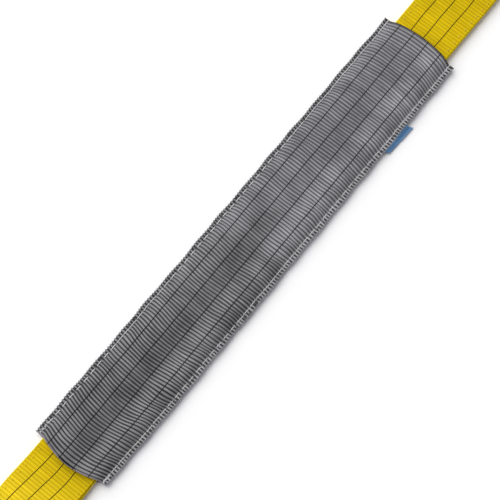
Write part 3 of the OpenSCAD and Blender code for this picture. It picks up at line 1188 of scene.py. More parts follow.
@dataclass
class WearSleeve:
    """Two ribbed panels sewn together along both edges, with the top one arched over the web."""

    length: float = 745.0
    width: float = 120.0
    thickness: float = 2.2
    room: float = 51.6
    flat_y: float = 40.0
    across_points: tuple[int, int] = (12, 8)
    mid_z: float = 6.3
    arch_height: float = 10.4
    arch_power: float = 6.0
    belly_from: float = 47.0
    bow_power: float = 1.83
    bow_slope: float = 0.0176
    bow_middle: float = -3.07
    bow_cut: tuple[float, float] = (-12.0, 6.0)
    bow_cut_reach: float = 24.0
    rib_pitch: float = 4.626
    rib_depth: float = 0.85
    rib_sharpness: float = 0.75
    per_rib: int = 6
    marker_pitch: float = 23.2
    markers: int = 4
    marker_width: float = 1.32
    marker_profile: tuple[tuple[float, float], ...] = (
        (-0.5, -0.2), (-0.42, 0.14), (0.0, 0.2), (0.42, 0.14), (0.5, -0.2)
    )
    marker_wander: tuple[Wave, ...] = (Wave(0.25, 31.0, slant=1.7), Wave(0.12, 7.3, slant=1.0))
    drawn_in: tuple[float, float] = (-0.5, 2.3)
    drawn_from: Step = Step(1.0, 260.0, 110.0)
    flange_over: tuple[float, float] = (1.3, 1.8)
    flange_over_reach: float = 60.0
    flange_rise: float = 4.0
    pucker: tuple[float, float] = (0.648, 1.224)
    pucker_from: Step = Step(1.0, 18.0, 26.0)
    pucker_held: Step = Step(0.45, 46.0, 7.0)
    pucker_fade: float = 30.0
    seam_stray: tuple[Wave, ...] = (
        Wave(0.50, 4.9, side=1.1, slant=0.06),
        Wave(0.45, 7.7, side=2.3),
        Wave(0.60, 13.7, 0.4, 1.0, 0.05),
        Wave(0.35, 29.0, side=1.2),
    )
    middle_stray: tuple[Wave, ...] = (Wave(0.55, 21.0, slant=1 / 15.0), Wave(0.40, 9.4, 1.9, slant=-1 / 11.0))
    flank_stray: tuple[Wave, ...] = (Wave(0.30, 14.6, 0.8, slant=1 / 7.0),)
    flank_from: Step = Step(1.0, 8.0, 16.0)
    ripples: tuple[Wave, ...] = (Wave(0.28, 6.3, side=1.3), Wave(0.22, 17.0, 0.7, 2.1))
    ripple_from: Step = Step(1.0, -9.0, 8.0)
    edge_waver: tuple[Wave, ...] = (Wave(0.45, 8.3, side=1.0), Wave(0.30, 23.0, side=2.0))
    edge_loops: Step = Step(0.7, 56.0, 2.5)
    loop_middle: float = 0.6
    loop_sizes: tuple[Wave, ...] = (Wave(0.35, 5.3, side=1.0), Wave(0.35, 12.1, side=2.0))
    seam_y: float = 53.4
    seam_places: tuple[float, ...] = (52.6, 53.4, 54.2, 55.4)
    seam_depth: float = 0.55
    seam_pull: float = 1.1
    seam_waver: Wave = Wave(0.2, 14.0)
    seam_step: int = 3
    seam_points: int = 4
    seam_proud: float = 0.12
    seam_pitch: float = 13.5
    seams: tuple[SeamPlan, ...] = (
        SeamPlan("left", 1.0, (-224.0, -100.0, 150.0), (8.2, 12.6, 8.6, 12.2), 22.0, 18.0),
        SeamPlan("right", -1.0, (-252.0, -92.0, 36.0, 232.0), (12.4, 9.2, 12.6, 9.3, 12.6), 10.0, 12.0),
    )
    tack_start: float = 2.5
    tack_rows: tuple[float, ...] = (0.0, 1.3)
    far_tack: tuple[float, float] = (7.0, 1.5)

    def arch(self, y: Array) -> Array:
        """Height of the top panel's inner face over the flange plane."""
        share = np.abs(y) / self.room
        return np.where(share >= 1.0, 0.0, self.arch_height * (1.0 - share**self.arch_power))

    def belly(self, y: Array) -> Array:
        """Height of the bottom panel's under face."""
        return (self.mid_z - self.thickness) * ease((np.abs(y) - self.belly_from) / (self.room - self.belly_from))

    def bow(self, s: Array, y: Array) -> Array:
        """How far the weft has shifted along the sleeve from the flange line.

        Args:
            s: Place along the cloth.
            y: Place across it.

        Returns:
            The shift in X.
        """
        middle = self.bow_slope * s + self.bow_middle
        half, cut_reach, over_reach = self.length / 2, self.bow_cut_reach, self.flange_over_reach
        over = 0.0
        for cut, flange, side in zip(self.bow_cut, self.flange_over, (-1.0, 1.0)):
            edge = self.bow_slope * side * half + self.bow_middle
            middle = middle + (cut - edge) * ease((side * s - half + cut_reach) / cut_reach)
            over = over + side * flange * ease((side * s - half + over_reach) / over_reach)
        share = np.clip(np.abs(y) / self.room, 0.0, 1.0)
        left = ease((y - self.room + self.flange_rise) / self.flange_rise)
        return middle * (1.0 - share**self.bow_power) + self.puckers(s, y) + left * over

    def puckers(self, s: Array, y: Array) -> Array:
        """How far ribs stray along the sleeve where the seams gather the cloth.

        Args:
            s: Place along the cloth.
            y: Place across it.

        Returns:
            The shift in X.
        """
        reach = np.abs(y)
        near = self.pucker_from.at(reach) * (1.0 - self.pucker_held.at(reach))
        gathered = np.where(y > 0, *self.pucker) * near * waves_at(self.seam_stray, s, y)
        middle = waves_at(self.middle_stray, s, y) + waves_at(self.flank_stray, s, y) * self.flank_from.at(reach)
        return (gathered + middle) * ease((self.length / 2 - np.abs(s)) / self.pucker_fade)

    def ripple(self, s: Array, y: Array) -> Array:
        """Small waves that sewing leaves in the flanges and beside them."""
        return self.ripple_from.at(np.abs(y) - self.room) * waves_at(self.ripples, s, y)

    def sink(self, y: Array) -> Array:
        """How deep the seam pulls the cloth down along its line."""
        return self.seam_depth * bump_curve(np.abs(y), self.seam_y, self.seam_pull)

    def shift(self, s: Array, y: Array) -> Array:
        """Small waver of the flange's outer edge across the sleeve, and its taper at one end.

        Args:
            s: Place along the cloth.
            y: Place across it.

        Returns:
            The shift in Y.
        """
        near = ease((np.abs(y) - self.room) / self.flange_rise)
        loops = self.edge_loops.at(np.abs(y)) * (np.abs(np.sin(math.pi * s / self.rib_pitch)) - self.loop_middle)
        waver = waves_at(self.edge_waver, s, y) + loops * (1.0 + waves_at(self.loop_sizes, s, y))
        inward = np.where(y > 0, *self.drawn_in)
        drawn = -inward * self.drawn_from.at(-s) * np.abs(y) / self.room
        return (near * waver + drawn * ease(np.abs(y) / self.room)) * np.sign(y)

    def _outer(self, s: Array, y: Array, top: bool) -> Array:
        """Points on the outer face of a panel.

        Args:
            s: Place along the cloth.
            y: Place across it.
            top: Whether it is the top panel.

        Returns:
            The points in millimetres.
        """
        x = s + self.bow(s, y)
        if top:
            z = self.mid_z + self.thickness + self.arch(y) + self.ripple(s, y) - self.sink(y)
        else:
            z = self.belly(y) + self.ripple(s, y) + self.sink(y)
        return np.stack([x, y + self.shift(s, y), z], -1)

    def _inner(self, s: Array, y: Array, top: bool) -> Array:
        """Points on the inner face of a panel, as _outer gives its outer face.

        Args:
            s: Place along the cloth.
            y: Place across it.
            top: Whether it is the top panel.

        Returns:
            The points in millimetres.
        """
        x = s + self.bow(s, y)
        base = self.mid_z + self.arch(y) if top else self.belly(y) + self.thickness
        return np.stack([x, y + self.shift(s, y), base + self.ripple(s, y)], -1)

    def _along(self) -> Array:
        """Places along a panel at which it is drawn, the same number for each rib."""
        rows = round(self.length / self.rib_pitch) * self.per_rib + 1
        return np.linspace(-self.length / 2, self.length / 2, rows)

    def _across(self) -> Array:
        """Places across a panel at which it is drawn, closer together where it bends.

        Returns:
            The places, from right to left.
        """
        few, many = self.across_points
        flat, bend = np.linspace(0, self.flat_y, few)[:-1], np.linspace(self.flat_y, self.room, many)[:-1]
        edge = self.width / 2 - self.thickness / 2
        half = np.concatenate([flat, bend, [self.room, *self.seam_places, edge]])
        return np.concatenate([-half[:0:-1], half])

    def panel(self, name: str, top: bool) -> Piece:
        """Builds a panel as closed cloth with rounded selvedges.

        Args:
            name: The piece's name.
            top: Whether it is the top panel.

        Returns:
            The panel, before its ribs.
        """
        s, y = self._along()[:, None], self._across()[None, :]
        outer, inner = self._outer(s, y, top), self._inner(s, y, top)
        r = self.thickness / 2
        way = 1.0 if top else -1.0
        rounds = []
        for column, side in ((-1, 1), (0, -1)):
            centre = (outer[:, column] + inner[:, column]) / 2
            a = ROUND_TURNS[::side]
            arc = np.stack([np.zeros_like(a), side * r * np.cos(a), way * r * np.sin(a)], -1)
            rounds.append(centre[:, None, :] + arc[None])
        rings = np.concatenate([outer, rounds[0], inner[:, ::-1], rounds[1]], 1)
        q, edge = y[0], self.width / 2
        across = np.concatenate([q, [edge] * 3, q[::-1], [-edge] * 3])
        return make_tube(name, rings, np.stack(np.broadcast_arrays(s, across[None, :]), -1))

    def marker_threads(self, name: str, top: bool) -> Piece:
        """Builds a panel's marker threads, riding just proud of its ribs.

        Args:
            name: The piece's name.
            top: Whether they are the top panel's.

        Returns:
            The threads, before their ribs.
        """
        s = self._along()
        way = 1.0 if top else -1.0
        threads = []
        for n in range(self.markers):
            y = self.marker_pitch * (n - (self.markers - 1) / 2)
            line = y + waves_at(self.marker_wander, s, n)
            lines = []
            for dy, up in self.marker_profile:
                points = self._outer(s, line + dy * self.marker_width, top)
                points[:, 2] = np.maximum(points[:, 2] + way * up, 0.0)
                lines.append(points)
            threads.append((lines, y))
        return make_threads(name, s, threads)

    def seam_run(self, side: float, offset: float, x0: float, x1: float, top: bool) -> tuple[Array, Array]:
        """Draws where a row of stitches lies on a flange.

        Args:
            side: The sign of its Y.
            offset: Distance outboard of the main seam.
            x0: Where the row starts.
            x1: Where it ends.
            top: Whether it shows on the top face.

        Returns:
            The points, and the way out of the cloth at each.
        """
        s = np.linspace(x0, x1, max(int(x1 - x0) // self.seam_step, self.seam_points))
        y = side * (self.seam_y + offset) + waves_at((self.seam_waver,), s, 0.0)
        up = np.tile([0.0, 0.0, 1.0 if top else -1.0], (len(s), 1))
        return self._outer(s, y, top) + up * self.seam_proud, up

    def seam_path(self, name: str, side: float, x0: float, x1: float) -> Piece:
        """Makes the path of a stretch of the main seam, which shows on both panels."""
        return make_path(name, [self.seam_run(side, 0.0, x0, x1, top) for top in (True, False)])

    def tack_path(self, name: str, side: float, rows: Sequence[float], x0: float, x1: float) -> Piece:
        """Makes the path of a back tack, which lies on the top panel alone."""
        return make_path(name, [self.seam_run(side, offset, x0, x1, True) for offset in rows])


@dataclass
class SleeveLabel:
    """Blank label sewn in between the sleeve's flanges, its free part bent over a little."""

    x: float = 242.0
    length: float = 50.0
    out: float = 9.0
    thickness: float = 0.6
    tuck: float = 6.0
    inset: float = 0.2
    back: float = 1.3
    skew: float = 4.15
    shares: tuple[float, float] = (0.73, 0.88)
    slips: tuple[float, float] = (-0.7, 0.8)
    waves: tuple[Wave, ...] = (Wave(0.35, 1 / 9.0, 0.6), Wave(0.2, 1 / 21.0))
    clear: float = 1.3
    crease: Step = Step(1.3, 0.0, 1.2)
    droop: float = 3.0
    droop_short: float = 2.4
    tip_lift: float = 0.5
    grid: tuple[int, int, int] = (41, 4, 14)

    def cloth(self, name: str, flange: float, mid_z: float) -> Piece:
        """Builds the label.

        Args:
            name: The piece's name.
            flange: Half width of the sleeve.
            mid_z: Height at which its flanges meet.

        Returns:
            The label, a closed sheet.
        """
        rows, few, many = self.grid
        along = np.linspace(-0.5, 0.5, rows)[:, None]
        hidden, shown = np.linspace(-self.tuck, 1.0, few)[:-1], np.linspace(0.0, 1.0, many) * self.out
        out = np.concatenate([hidden, shown])[None, :]
        free = np.clip(out / self.out, 0.0, 1.0)
        x = self.x + along * self.length + self.skew * free - self.back
        reach = out * np.where(out > 0, lerp(*self.shares, along + 0.5), 1.0) + lerp(*self.slips, along + 0.5)
        y = -flange + self.inset - reach
        clear = np.maximum(-y - flange - self.clear, 0.0)
        bent = np.clip(clear / (self.out - self.droop_short), 0.0, 1.0)
        z = mid_z - self.crease.at(clear) - self.droop * (1.0 - (1.0 - bent) ** 2.0)
        z = z + waves_at(self.waves, along, 0.0) * free * free + self.tip_lift * free**3
        cloth = np.stack(np.broadcast_arrays(along * self.length, out), -1)
        return make_sheet(name, np.stack(np.broadcast_arrays(x, y, z), -1), cloth, self.thickness)


# ---------------------------------------------------------------- sling web


@dataclass(frozen=True)
class WebLie:
    """How one end's web lies beside the sleeve: its sway, its lower ply's place and its marker threads' stray."""

    sway: tuple[Step, ...]
    peek: tuple[Step, ...]
    markers_in: float
    marker_shift: float
    marker_drift: tuple[Step, ...] = ()


@dataclass
class SlingWeb:
    """The duplex web: one strip that runs out as the upper ply, round an eye and back as the lower ply."""

    width: float = 90.0
    thickness: float = 3.4
    low_z: float = 2.9
    throat: float = 650.0
    eye_length: float = 350.0
    seat_radius: float = 18.0
    pad_thickness: float = 2.2
    pad_gap: float = 0.12
    pad_reach: float = 60.0
    pad_width: float = 45.0
    pad_cloth_from: float = 1000.0
    pad_points: tuple[int, int, int] = (40, 60, 9)
    thread_height: float = 0.4
    fold_start: float = 60.0
    fold_end: float = 210.0
    crown_half: float = 23.3
    leg_points: int = 400
    crown_points: int = 120
    turn_rows: float = 40.0
    rib_pitch: float = 4.85
    rib_depth: float = 0.6
    rib_sharpness: float = 0.8
    per_rib: int = 4
    flat_shares: tuple[float, ...] = (0.0, 0.5, 0.85, 1.0)
    arc_shares: tuple[float, ...] = (0.33, 0.67, 1.0)
    flap_shares: tuple[float, ...] = (0.5, 1.0)
    marker_pitch: float = 21.6
    marker_width: float = 1.35
    marker_profile: tuple[tuple[float, float], ...] = (
        (-0.5, -0.2), (-0.42, 0.12), (0.0, 0.18), (0.42, 0.12), (0.5, -0.2)
    )
    marker_wander: tuple[Wave, ...] = (Wave(0.3, 23.0, slant=1.7), Wave(0.18, 8.1, slant=1.0))
    marker_out: Step = Step(1.0, 330.0, 45.0)
    marker_back: Step = Step(1.0, 470.0, 170.0)
    marker_narrow: float = 0.5
    marker_bend: float = 1.2
    straight: Step = Step(1.0, 470.0, 140.0)
    lie_a: WebLie = WebLie(
        sway=(Step(2.2, 320.0, 70.0), Step(2.0, 390.0, 60.0)),
        peek=(Step(-1.0, 250.0, 110.0), Step(-2.1, 376.0, 46.0)),
        markers_in=2.0, marker_shift=2.0, marker_drift=(Step(5.0, 395.0, 90.0),),
    )
    lie_b: WebLie = WebLie(
        sway=(Step(-0.3, 340.0, 40.0), Step(-0.9, 410.0, 70.0)),
        peek=(Step(0.8, 350.0, 40.0),), markers_in=1.0, marker_shift=0.4,
    )
    curl_out: Step = Step(1.0, 330.0, 50.0)
    curl_back: Step = Step(1.0, 495.0, 120.0)
    curl_under: float = 1.3
    curl_rise: Step = Step(3.3, 0.0, 1.6)
    stitch_proud: float = 0.05
    stitch_step: float = 2.0
    fold_seam_y: float = 15.5
    splice_rows: int = 8
    splice_pitch: float = 8.0
    splice: tuple[float, float] = (510.0, 640.0)
    splice_inset: float = 1.0
    splice_half: float = 29.0
    cross_points: int = 30
    edge_seams: tuple[tuple[str, float], ...] = (("left", 38.0), ("right", -38.0))
    edge_seam_end: float = 638.0

    @property
    def top_z(self) -> float:
        """Height of the upper ply's top face."""
        return self.low_z + 2 * self.thickness

    @property
    def mid_z(self) -> float:
        """Height at which the plies meet."""
        return self.low_z + self.thickness

    @property
    def crown_out(self) -> float:
        """Outer radius of the crown."""
        return self.seat_radius + self.pad_thickness + 2 * self.thickness

    @property
    def crown_e(self) -> float:
        """Distance from the throat to the crown's centre."""
        return self.eye_length - self.seat_radius

    @property
    def crown_z(self) -> float:
        """Height of the crown's centre."""
        return self.crown_out + self.thread_height

    def leg(self, e: Array, high: bool) -> Array:
        """Height of the outer face of a leg at a distance from the throat.

        Args:
            e: The distance.
            high: Whether it is the upper leg.

        Returns:
            The height.
        """
        if high:
            return lerp(self.top_z, self.crown_z + self.crown_out, ease(e / self.crown_e))
        return lerp(self.low_z, self.crown_z - self.crown_out, ease(e / self.crown_e))

    def path(self, step: float) -> tuple[Array, Array, Array]:
        """Traces the outer face from the sling's middle out, round the crown and back.

        Args:
            step: Distance from one point to the next.

        Returns:
            Each point's X, its Z, and its distance from the middle along the web.
        """
        e = np.linspace(0, self.crown_e, self.leg_points)
        turn = np.linspace(math.pi / 2, -math.pi / 2, self.crown_points)[1:-1]
        x = np.concatenate(
            [
                [0.0],
                self.throat + e,
                self.throat + self.crown_e + self.crown_out * np.cos(turn),
                self.throat + e[::-1],
                [0.0],
            ]
        )
        z = np.concatenate(
            [
                [self.top_z],
                self.leg(e, True),
                self.crown_z + self.crown_out * np.sin(turn),
                self.leg(e, False)[::-1],
                [self.low_z],
            ]
        )
        run = np.concatenate([[0.0], np.cumsum(np.hypot(np.diff(x), np.diff(z)))])
        count = int(round(run[-1] / step)) + 1
        even = np.linspace(0, run[-1], count)
        return np.interp(even, run, x), np.interp(even, run, z), even

    def inward(self, x: Array, z: Array) -> Array:
        """The way into the loop at each point of a path, in X and Z.

        Args:
            x: Each point's X.
            z: Each point's Z.

        Returns:
            A unit step for each point.
        """
        dx, dz = np.gradient(x), np.gradient(z)
        size = np.hypot(dx, dz)
        return np.stack([dz / size, -dx / size], -1)

    def fold(self, x: Array) -> Array:
        """Half width of the part that isn't folded over, at a place along the web.

        Args:
            x: Distance from the sling's middle.

        Returns:
            The half width.
        """
        flat = (self.width - self.thickness) / 2
        folded = self.crown_half - self.thickness
        return lerp(flat, folded, ease((x - self.throat - self.fold_start) / (self.fold_end - self.fold_start)))

    def section(self, q: Array, half: Array) -> tuple[Array, Array, Array]:
        """Places the middle of the cloth across a fold.

        Args:
            q: Place across the flat cloth.
            half: Half width of the part that isn't folded.

        Returns:
            Its place across, its depth under the outer face's middle line, and its turn in radians.
        """
        r = self.thickness / 2
        side, over = np.sign(q), np.abs(q) - half
        arc = np.clip(over / r, 0.0, math.pi)
        rest = np.maximum(over - math.pi * r, 0.0)
        y = np.where(over <= 0, np.abs(q), half + r * np.sin(arc) - rest)
        depth = np.where(over <= 0, 0.0, r * (1.0 - np.cos(arc)))
        return side * y, depth, np.where(over <= 0, 0.0, arc)

    def lie(self, side: Side) -> WebLie:
        """How the web of one end lies."""
        return self.lie_a if side is Side.A else self.lie_b

    def upper(self, count: int) -> Array:
        """For each point of a path, 1 on the upper ply and 0 on the lower."""
        return ease((count / 2 - np.arange(count)) / self.turn_rows + 0.5)

    def sideways(self, x: Array, side: Side, upper: Array) -> Array:
        """How far the web lies off the sling's middle line.

        Args:
            x: Distance from the sling's middle.
            side: Which end of the sling.
            upper: 1 on the upper ply and 0 on the lower.

        Returns:
            The shift in Y.
        """
        sway = steps_at(self.lie(side).sway, x) * (1.0 - self.straight.at(x))
        return sway + self.peek(x, side) * (1.0 - upper)

    def peek(self, x: Array, side: Side) -> Array:
        """How far the lower ply lies in Y from the upper one, which it shows beside only where this is below 0."""
        return steps_at(self.lie(side).peek, x) * (1.0 - self.straight.at(x))

    def curl(self, q: Array, x: Array, side: Side, upper: Array) -> Array:
        """How far the lower ply's right edge curls up beside the sleeve.

        Args:
            q: Place across the flat cloth.
            x: Distance from the sling's middle.
            side: Which end of the sling.
            upper: 1 on the upper ply and 0 on the lower.

        Returns:
            The rise.
        """
        shows = self.curl_out.at(x) * (1.0 - self.curl_back.at(x)) * (1.0 - upper)
        covered = (self.width - self.thickness) / 2 + self.peek(x, side) - self.curl_under
        return shows * self.curl_rise.at(-q - covered)

    def marker_place(self, n: int, x: Array, side: Side) -> Array:
        """Place across the cloth of a marker thread, which strays a little beside the sleeve.

        Args:
            n: Which thread, -1, 0 or 1.
            x: Distance from the sling's middle.
            side: Which end of the sling.

        Returns:
            The place.
        """
        lie = self.lie(side)
        beside = self.marker_out.at(x) * (1.0 - self.marker_back.at(x))
        shift = lie.marker_shift + steps_at(lie.marker_drift, x)
        return n * (self.marker_pitch - lie.markers_in * beside) + beside * shift

    def _samples(self, half: Array) -> Array:
        """Places across the cloth at which a row is drawn, closer together on its folds.

        Args:
            half: Each row's half width that isn't folded.

        Returns:
            The places, a row for each point of the path.
        """
        edge = (self.width - self.thickness) / 2
        bend = math.pi * self.thickness / 2
        end = np.minimum(half + bend, edge)
        flat = [half * u for u in self.flat_shares]
        arc = [lerp(half, end, u) for u in self.arc_shares]
        flap = [lerp(end, edge, u) for u in self.flap_shares]
        right = np.stack(flat + arc + flap, -1)
        return np.concatenate([-right[:, :0:-1], right], 1)

    def strip(self, name: str, side: Side) -> Piece:
        """Builds one end's strip of webbing, from the middle of the sling round its eye and back.

        Args:
            name: The piece's name.
            side: Which end of the sling.

        Returns:
            The strip, before its ribs.
        """
        x, z, run = self.path(self.rib_pitch / self.per_rib)
        into = self.inward(x, z)
        half = self.fold(x)
        q = self._samples(half)
        y, depth, turn = self.section(q, half[:, None])
        upper = self.upper(len(x))
        sway = self.sideways(x, side, upper)[:, None]
        t = self.thickness / 2
        lean = np.sign(q) * np.sin(turn)
        curl = self.curl(q, x[:, None], side, upper[:, None])

        def at(yy: Array, dd: Array, lift: Array) -> Array:
            """Points at a place across and a depth under the outer face, lifted where the edge curls."""
            return np.stack([x[:, None] + into[:, :1] * dd, yy + sway, z[:, None] + into[:, 1:] * dd + lift], -1)

        outer = at(y + t * lean, t + depth - t * np.cos(turn), curl)
        inner = at(y - t * lean, t + depth + t * np.cos(turn), curl)
        rounds = []
        for column, sign in ((-1, 1.0), (0, -1.0)):
            along = np.cos(turn[:, column]) * sign
            across = np.sin(turn[:, column])
            arc = []
            for a in ROUND_TURNS:
                out, up = t * math.cos(a), t * math.sin(a)
                yy = y[:, column] + out * along + up * lean[:, column]
                dd = t + depth[:, column] + out * across - up * np.cos(turn[:, column])
                arc.append(at(yy[:, None], dd[:, None], curl[:, [column]])[:, 0])
            rounds.append(np.stack(arc, 1))
        rings = np.concatenate([outer, rounds[0], inner[:, ::-1], rounds[1][:, ::-1]], 1)
        rings[..., 0] *= side.value
        ends = np.full((len(x), 3), self.width / 2)
        across = np.concatenate([q, ends, q[:, ::-1], -ends], 1)
        return make_tube(name, rings, np.stack(np.broadcast_arrays(run[:, None], across), -1))

    def on_face(self, q: Array | float, side: Side, proud: float, step: float) -> tuple[Array, Array, Array, Array]:
        """Follows one place across the cloth along its outer face.

        Args:
            q: Place across the flat cloth.
            side: Which end of the sling.
            proud: Height over the outer face.
            step: Distance from one point to the next.

        Returns:
            The points, the way out of the cloth, the distance along the web and the distance from the middle.
        """
        x, z, run = self.path(step)
        into = self.inward(x, z)
        q = np.broadcast_to(q, x.shape)
        y, depth, turn = self.section(q, self.fold(x))
        t = self.thickness / 2
        out_y, out_d = np.sign(q) * np.sin(turn), -np.cos(turn)
        yy = y + (t + proud) * out_y + self.sideways(x, side, self.upper(len(x)))
        dd = t + depth + (t + proud) * out_d
        points = np.stack([(x + into[:, 0] * dd) * side.value, yy, z + into[:, 1] * dd], -1)
        up = np.stack([into[:, 0] * out_d * side.value, out_y, into[:, 1] * out_d], -1)
        return points, up, run, x

    def marker_threads(self, name: str, side: Side) -> Piece:
        """Builds one end's three marker threads, riding just proud of the ribs.

        Args:
            name: The piece's name.
            side: Which end of the sling.

        Returns:
            The threads, before their ribs.
        """
        step = self.rib_pitch / self.per_rib
        x, _, run = self.path(step)
        threads = []
        for n in (-1, 0, 1):
            line = self.marker_place(n, x, side) + waves_at(self.marker_wander, run, n)
            folded = ease((np.abs(line) - self.fold(x)) / self.marker_bend + 0.5)
            spread = self.marker_width * (1.0 - self.marker_narrow * folded)
            lines = [self.on_face(line + dq * spread, side, up, step)[0] for dq, up in self.marker_profile]
            threads.append((lines, float(n)))
        return make_threads(name, run, threads)

    def wear_pad(self, name: str, side: Side) -> Piece:
        """Builds the pad that lines the crown inside the eye.

        Args:
            name: The piece's name.
            side: Which end of the sling.

        Returns:
            The pad, before its ribs.
        """
        gap = self.pad_gap
        radius = self.seat_radius + self.pad_thickness - gap
        few, many, columns = self.pad_points
        back = np.linspace(self.crown_e - self.pad_reach, self.crown_e, few)
        turn = np.linspace(math.pi / 2, -math.pi / 2, many)[1:-1]
        deep = 2 * self.thickness + gap
        high = np.stack([back, self.leg(back, True) - deep], -1)
        low = np.stack([back, self.leg(back, False) + deep], -1)[::-1]
        crown = np.stack([self.crown_e + radius * np.cos(turn), self.crown_z + radius * np.sin(turn)], -1)
        line = np.concatenate([high, crown, low])
        run = np.concatenate([[0.0], np.cumsum(np.hypot(*np.diff(line, axis=0).T))])
        even = np.linspace(0, run[-1], int(run[-1] / self.rib_pitch * self.per_rib))
        x, z = np.interp(even, run, line[:, 0]) + self.throat, np.interp(even, run, line[:, 1])
        into = self.inward(x, z)
        r = self.pad_thickness / 2
        flat = self.pad_width / 2 - r
        across = np.linspace(-flat, flat, columns)
        section = [(a, 0.0) for a in across]
        section += [(flat + r * math.cos(a), r - r * math.sin(a)) for a in ROUND_TURNS]
        section += [(a, 2 * r) for a in across[::-1]]
        section += [(-flat - r * math.cos(a), r + r * math.sin(a)) for a in ROUND_TURNS]
        y, depth = np.array(section).T
        rings = np.stack(
            [
                (x[:, None] + into[:, :1] * depth) * side.value,
                np.broadcast_to(y, (len(x), len(y))),
                z[:, None] + into[:, 1:] * depth,
            ],
            -1,
        )
        cloth = np.stack(np.broadcast_arrays(even[:, None] + self.pad_cloth_from, y[None, :]), -1)
        return make_tube(name, rings, cloth)

    def eye_run(self, q: float, side: Side, back: float) -> tuple[Array, Array]:
        """Draws a line round the outside of an eye between two points the same way back from its crown.

        Args:
            q: Place across the flat cloth.
            side: Which end of the sling.
            back: Where the line ends, from the throat.

        Returns:
            The points, and the way out of the cloth at each.
        """
        points, up, _, x = self.on_face(q, side, self.stitch_proud, self.stitch_step)
        keep = x >= self.throat + back
        return points[keep], up[keep]

    def face_run(self, y: float, side: Side, x0: float, x1: float, high: bool) -> tuple[Array, Array]:
        """Draws a line along the top or bottom face between two distances from the middle.

        Args:
            y: Place across the cloth.
            side: Which end of the sling.
            x0: Where the line starts.
            x1: Where it ends.
            high: Whether it lies on the top face.

        Returns:
            The points, and the way out of the cloth at each.
        """
        points, up, _, x = self.on_face(y, side, self.stitch_proud, self.stitch_step)
        half = len(x) // 2
        part = slice(0, half) if high else slice(half, len(x))
        keep = (x[part] >= x0) & (x[part] <= x1)
        return points[part][keep], up[part][keep]

    def cross_run(self, at: float, half: float, side: Side, high: bool) -> tuple[Array, Array]:
        """Draws a line straight across the top or bottom face at a distance from the middle.

        Args:
            at: The distance.
            half: Half the line's length.
            side: Which end of the sling.
            high: Whether it lies on the top face.

        Returns:
            The points, and the way out of the cloth at each.
        """
        y = np.linspace(-half, half, self.cross_points)
        z = self.top_z + self.stitch_proud if high else self.low_z - self.stitch_proud
        points = np.column_stack([np.full_like(y, at * side.value), y, np.full_like(y, z)])
        return points, np.tile([0.0, 0.0, 1.0 if high else -1.0], (len(y), 1))

    def fold_path(self, name: str, side: Side) -> Piece:
        """Makes the path of the seams that hold an eye's fold."""
        places = (-self.fold_seam_y, self.fold_seam_y)
        return make_path(name, [self.eye_run(q, side, self.fold_end) for q in places])

    def splice_path(self, name: str, side: Side) -> Piece:
        """Makes the path of a splice: rows along the web, closed by one across it at each end.

        Args:
            name: The path's name.
            side: Which end of the sling.

        Returns:
            The path.
        """
        x0, x1 = self.splice
        faces = (True, False)
        rows = [(n - (self.splice_rows - 1) / 2) * self.splice_pitch for n in range(self.splice_rows)]
        runs = [self.face_run(y, side, x0, x1, high) for y in rows for high in faces]
        for x in (x0 + self.splice_inset, x1 - self.splice_inset):
            runs += [self.cross_run(x, self.splice_half, side, high) for high in faces]
        return make_path(name, runs)

    def edge_seam_path(self, name: str, side: Side, y: float) -> Piece:
        """Makes the path of the seam along one edge, which shows on both faces."""
        return make_path(name, [self.face_run(y, side, 0.0, self.edge_seam_end, high) for high in (True, False)])


@dataclass
class SlingLabel:
    """Blank label sewn across the web at one end, its free flap lying on the web."""

    hinge_x: float = 532.0
    tab: float = 9.6
    flap: float = 70.0
    width: float = 40.0
    thickness: float = 0.6
    z: float = 10.7
    corner_cut: float = 2.0
    corner_reach: float = 4.0
    ripple_height: float = 0.25
    ripple_length: float = 9.0
    tip_lift: float = 1.6
    side_lift: float = 0.5
    stitch_inset: float = 2.5
    stitch_margin: float = 1.4
    stitch_proud: float = 0.05
    stitch_points: int = 30
    grid: tuple[int, int, int] = (9, 46, 25)

    def cloth(self, name: str) -> Piece:
        """Builds the label as one sheet from its sewn tab to its free end.

        Args:
            name: The piece's name.

        Returns:
            The label, a closed sheet.
        """
        few, many, columns = self.grid
        run = np.concatenate([np.linspace(-self.tab, 0.0, few)[:-1], np.linspace(0.0, self.flap, many)])[:, None]
        across = np.linspace(-0.5, 0.5, columns)[None, :] * self.width
        free = np.clip(run / self.flap, 0.0, 1.0)
        corner = self.corner_cut * np.clip(1.0 - (self.flap - run) / self.corner_reach, 0.0, 1.0) ** 2
        y = across * (1.0 - corner / self.width)
        lift = self.ripple_height * free * np.sin(run / self.ripple_length) + self.tip_lift * free**3
        lift = lift + self.side_lift * free**2 * (2 * across / self.width) ** 2
        mid = np.stack(np.broadcast_arrays(-(self.hinge_x + run), y, self.z + lift), -1)
        flat = np.stack(np.broadcast_arrays(run, across), -1)
        return make_sheet(name, mid, flat, self.thickness)

    def stitch_path(self, name: str) -> Piece:
        """Draws the box of stitches that holds the tab down.

        Args:
            name: The path's name.

        Returns:
            The path.
        """
        top = self.z + self.thickness / 2 + self.stitch_proud
        half = self.width / 2 - self.stitch_inset
        ends = (-self.hinge_x + self.stitch_margin, -self.hinge_x + self.tab - self.stitch_margin)
        corners = [(x, y) for x in ends for y in (-half, half)]
        runs = []
        for a, b in ((0, 1), (2, 3), (0, 2), (1, 3)):
            line = np.linspace(corners[a], corners[b], self.stitch_points)
            points = np.column_stack([line, np.full(len(line), top)])
            runs.append((points, np.tile([0.0, 0.0, 1.0], (len(line), 1))))
        return make_path(name, runs)


# ---------------------------------------------------------------- studio


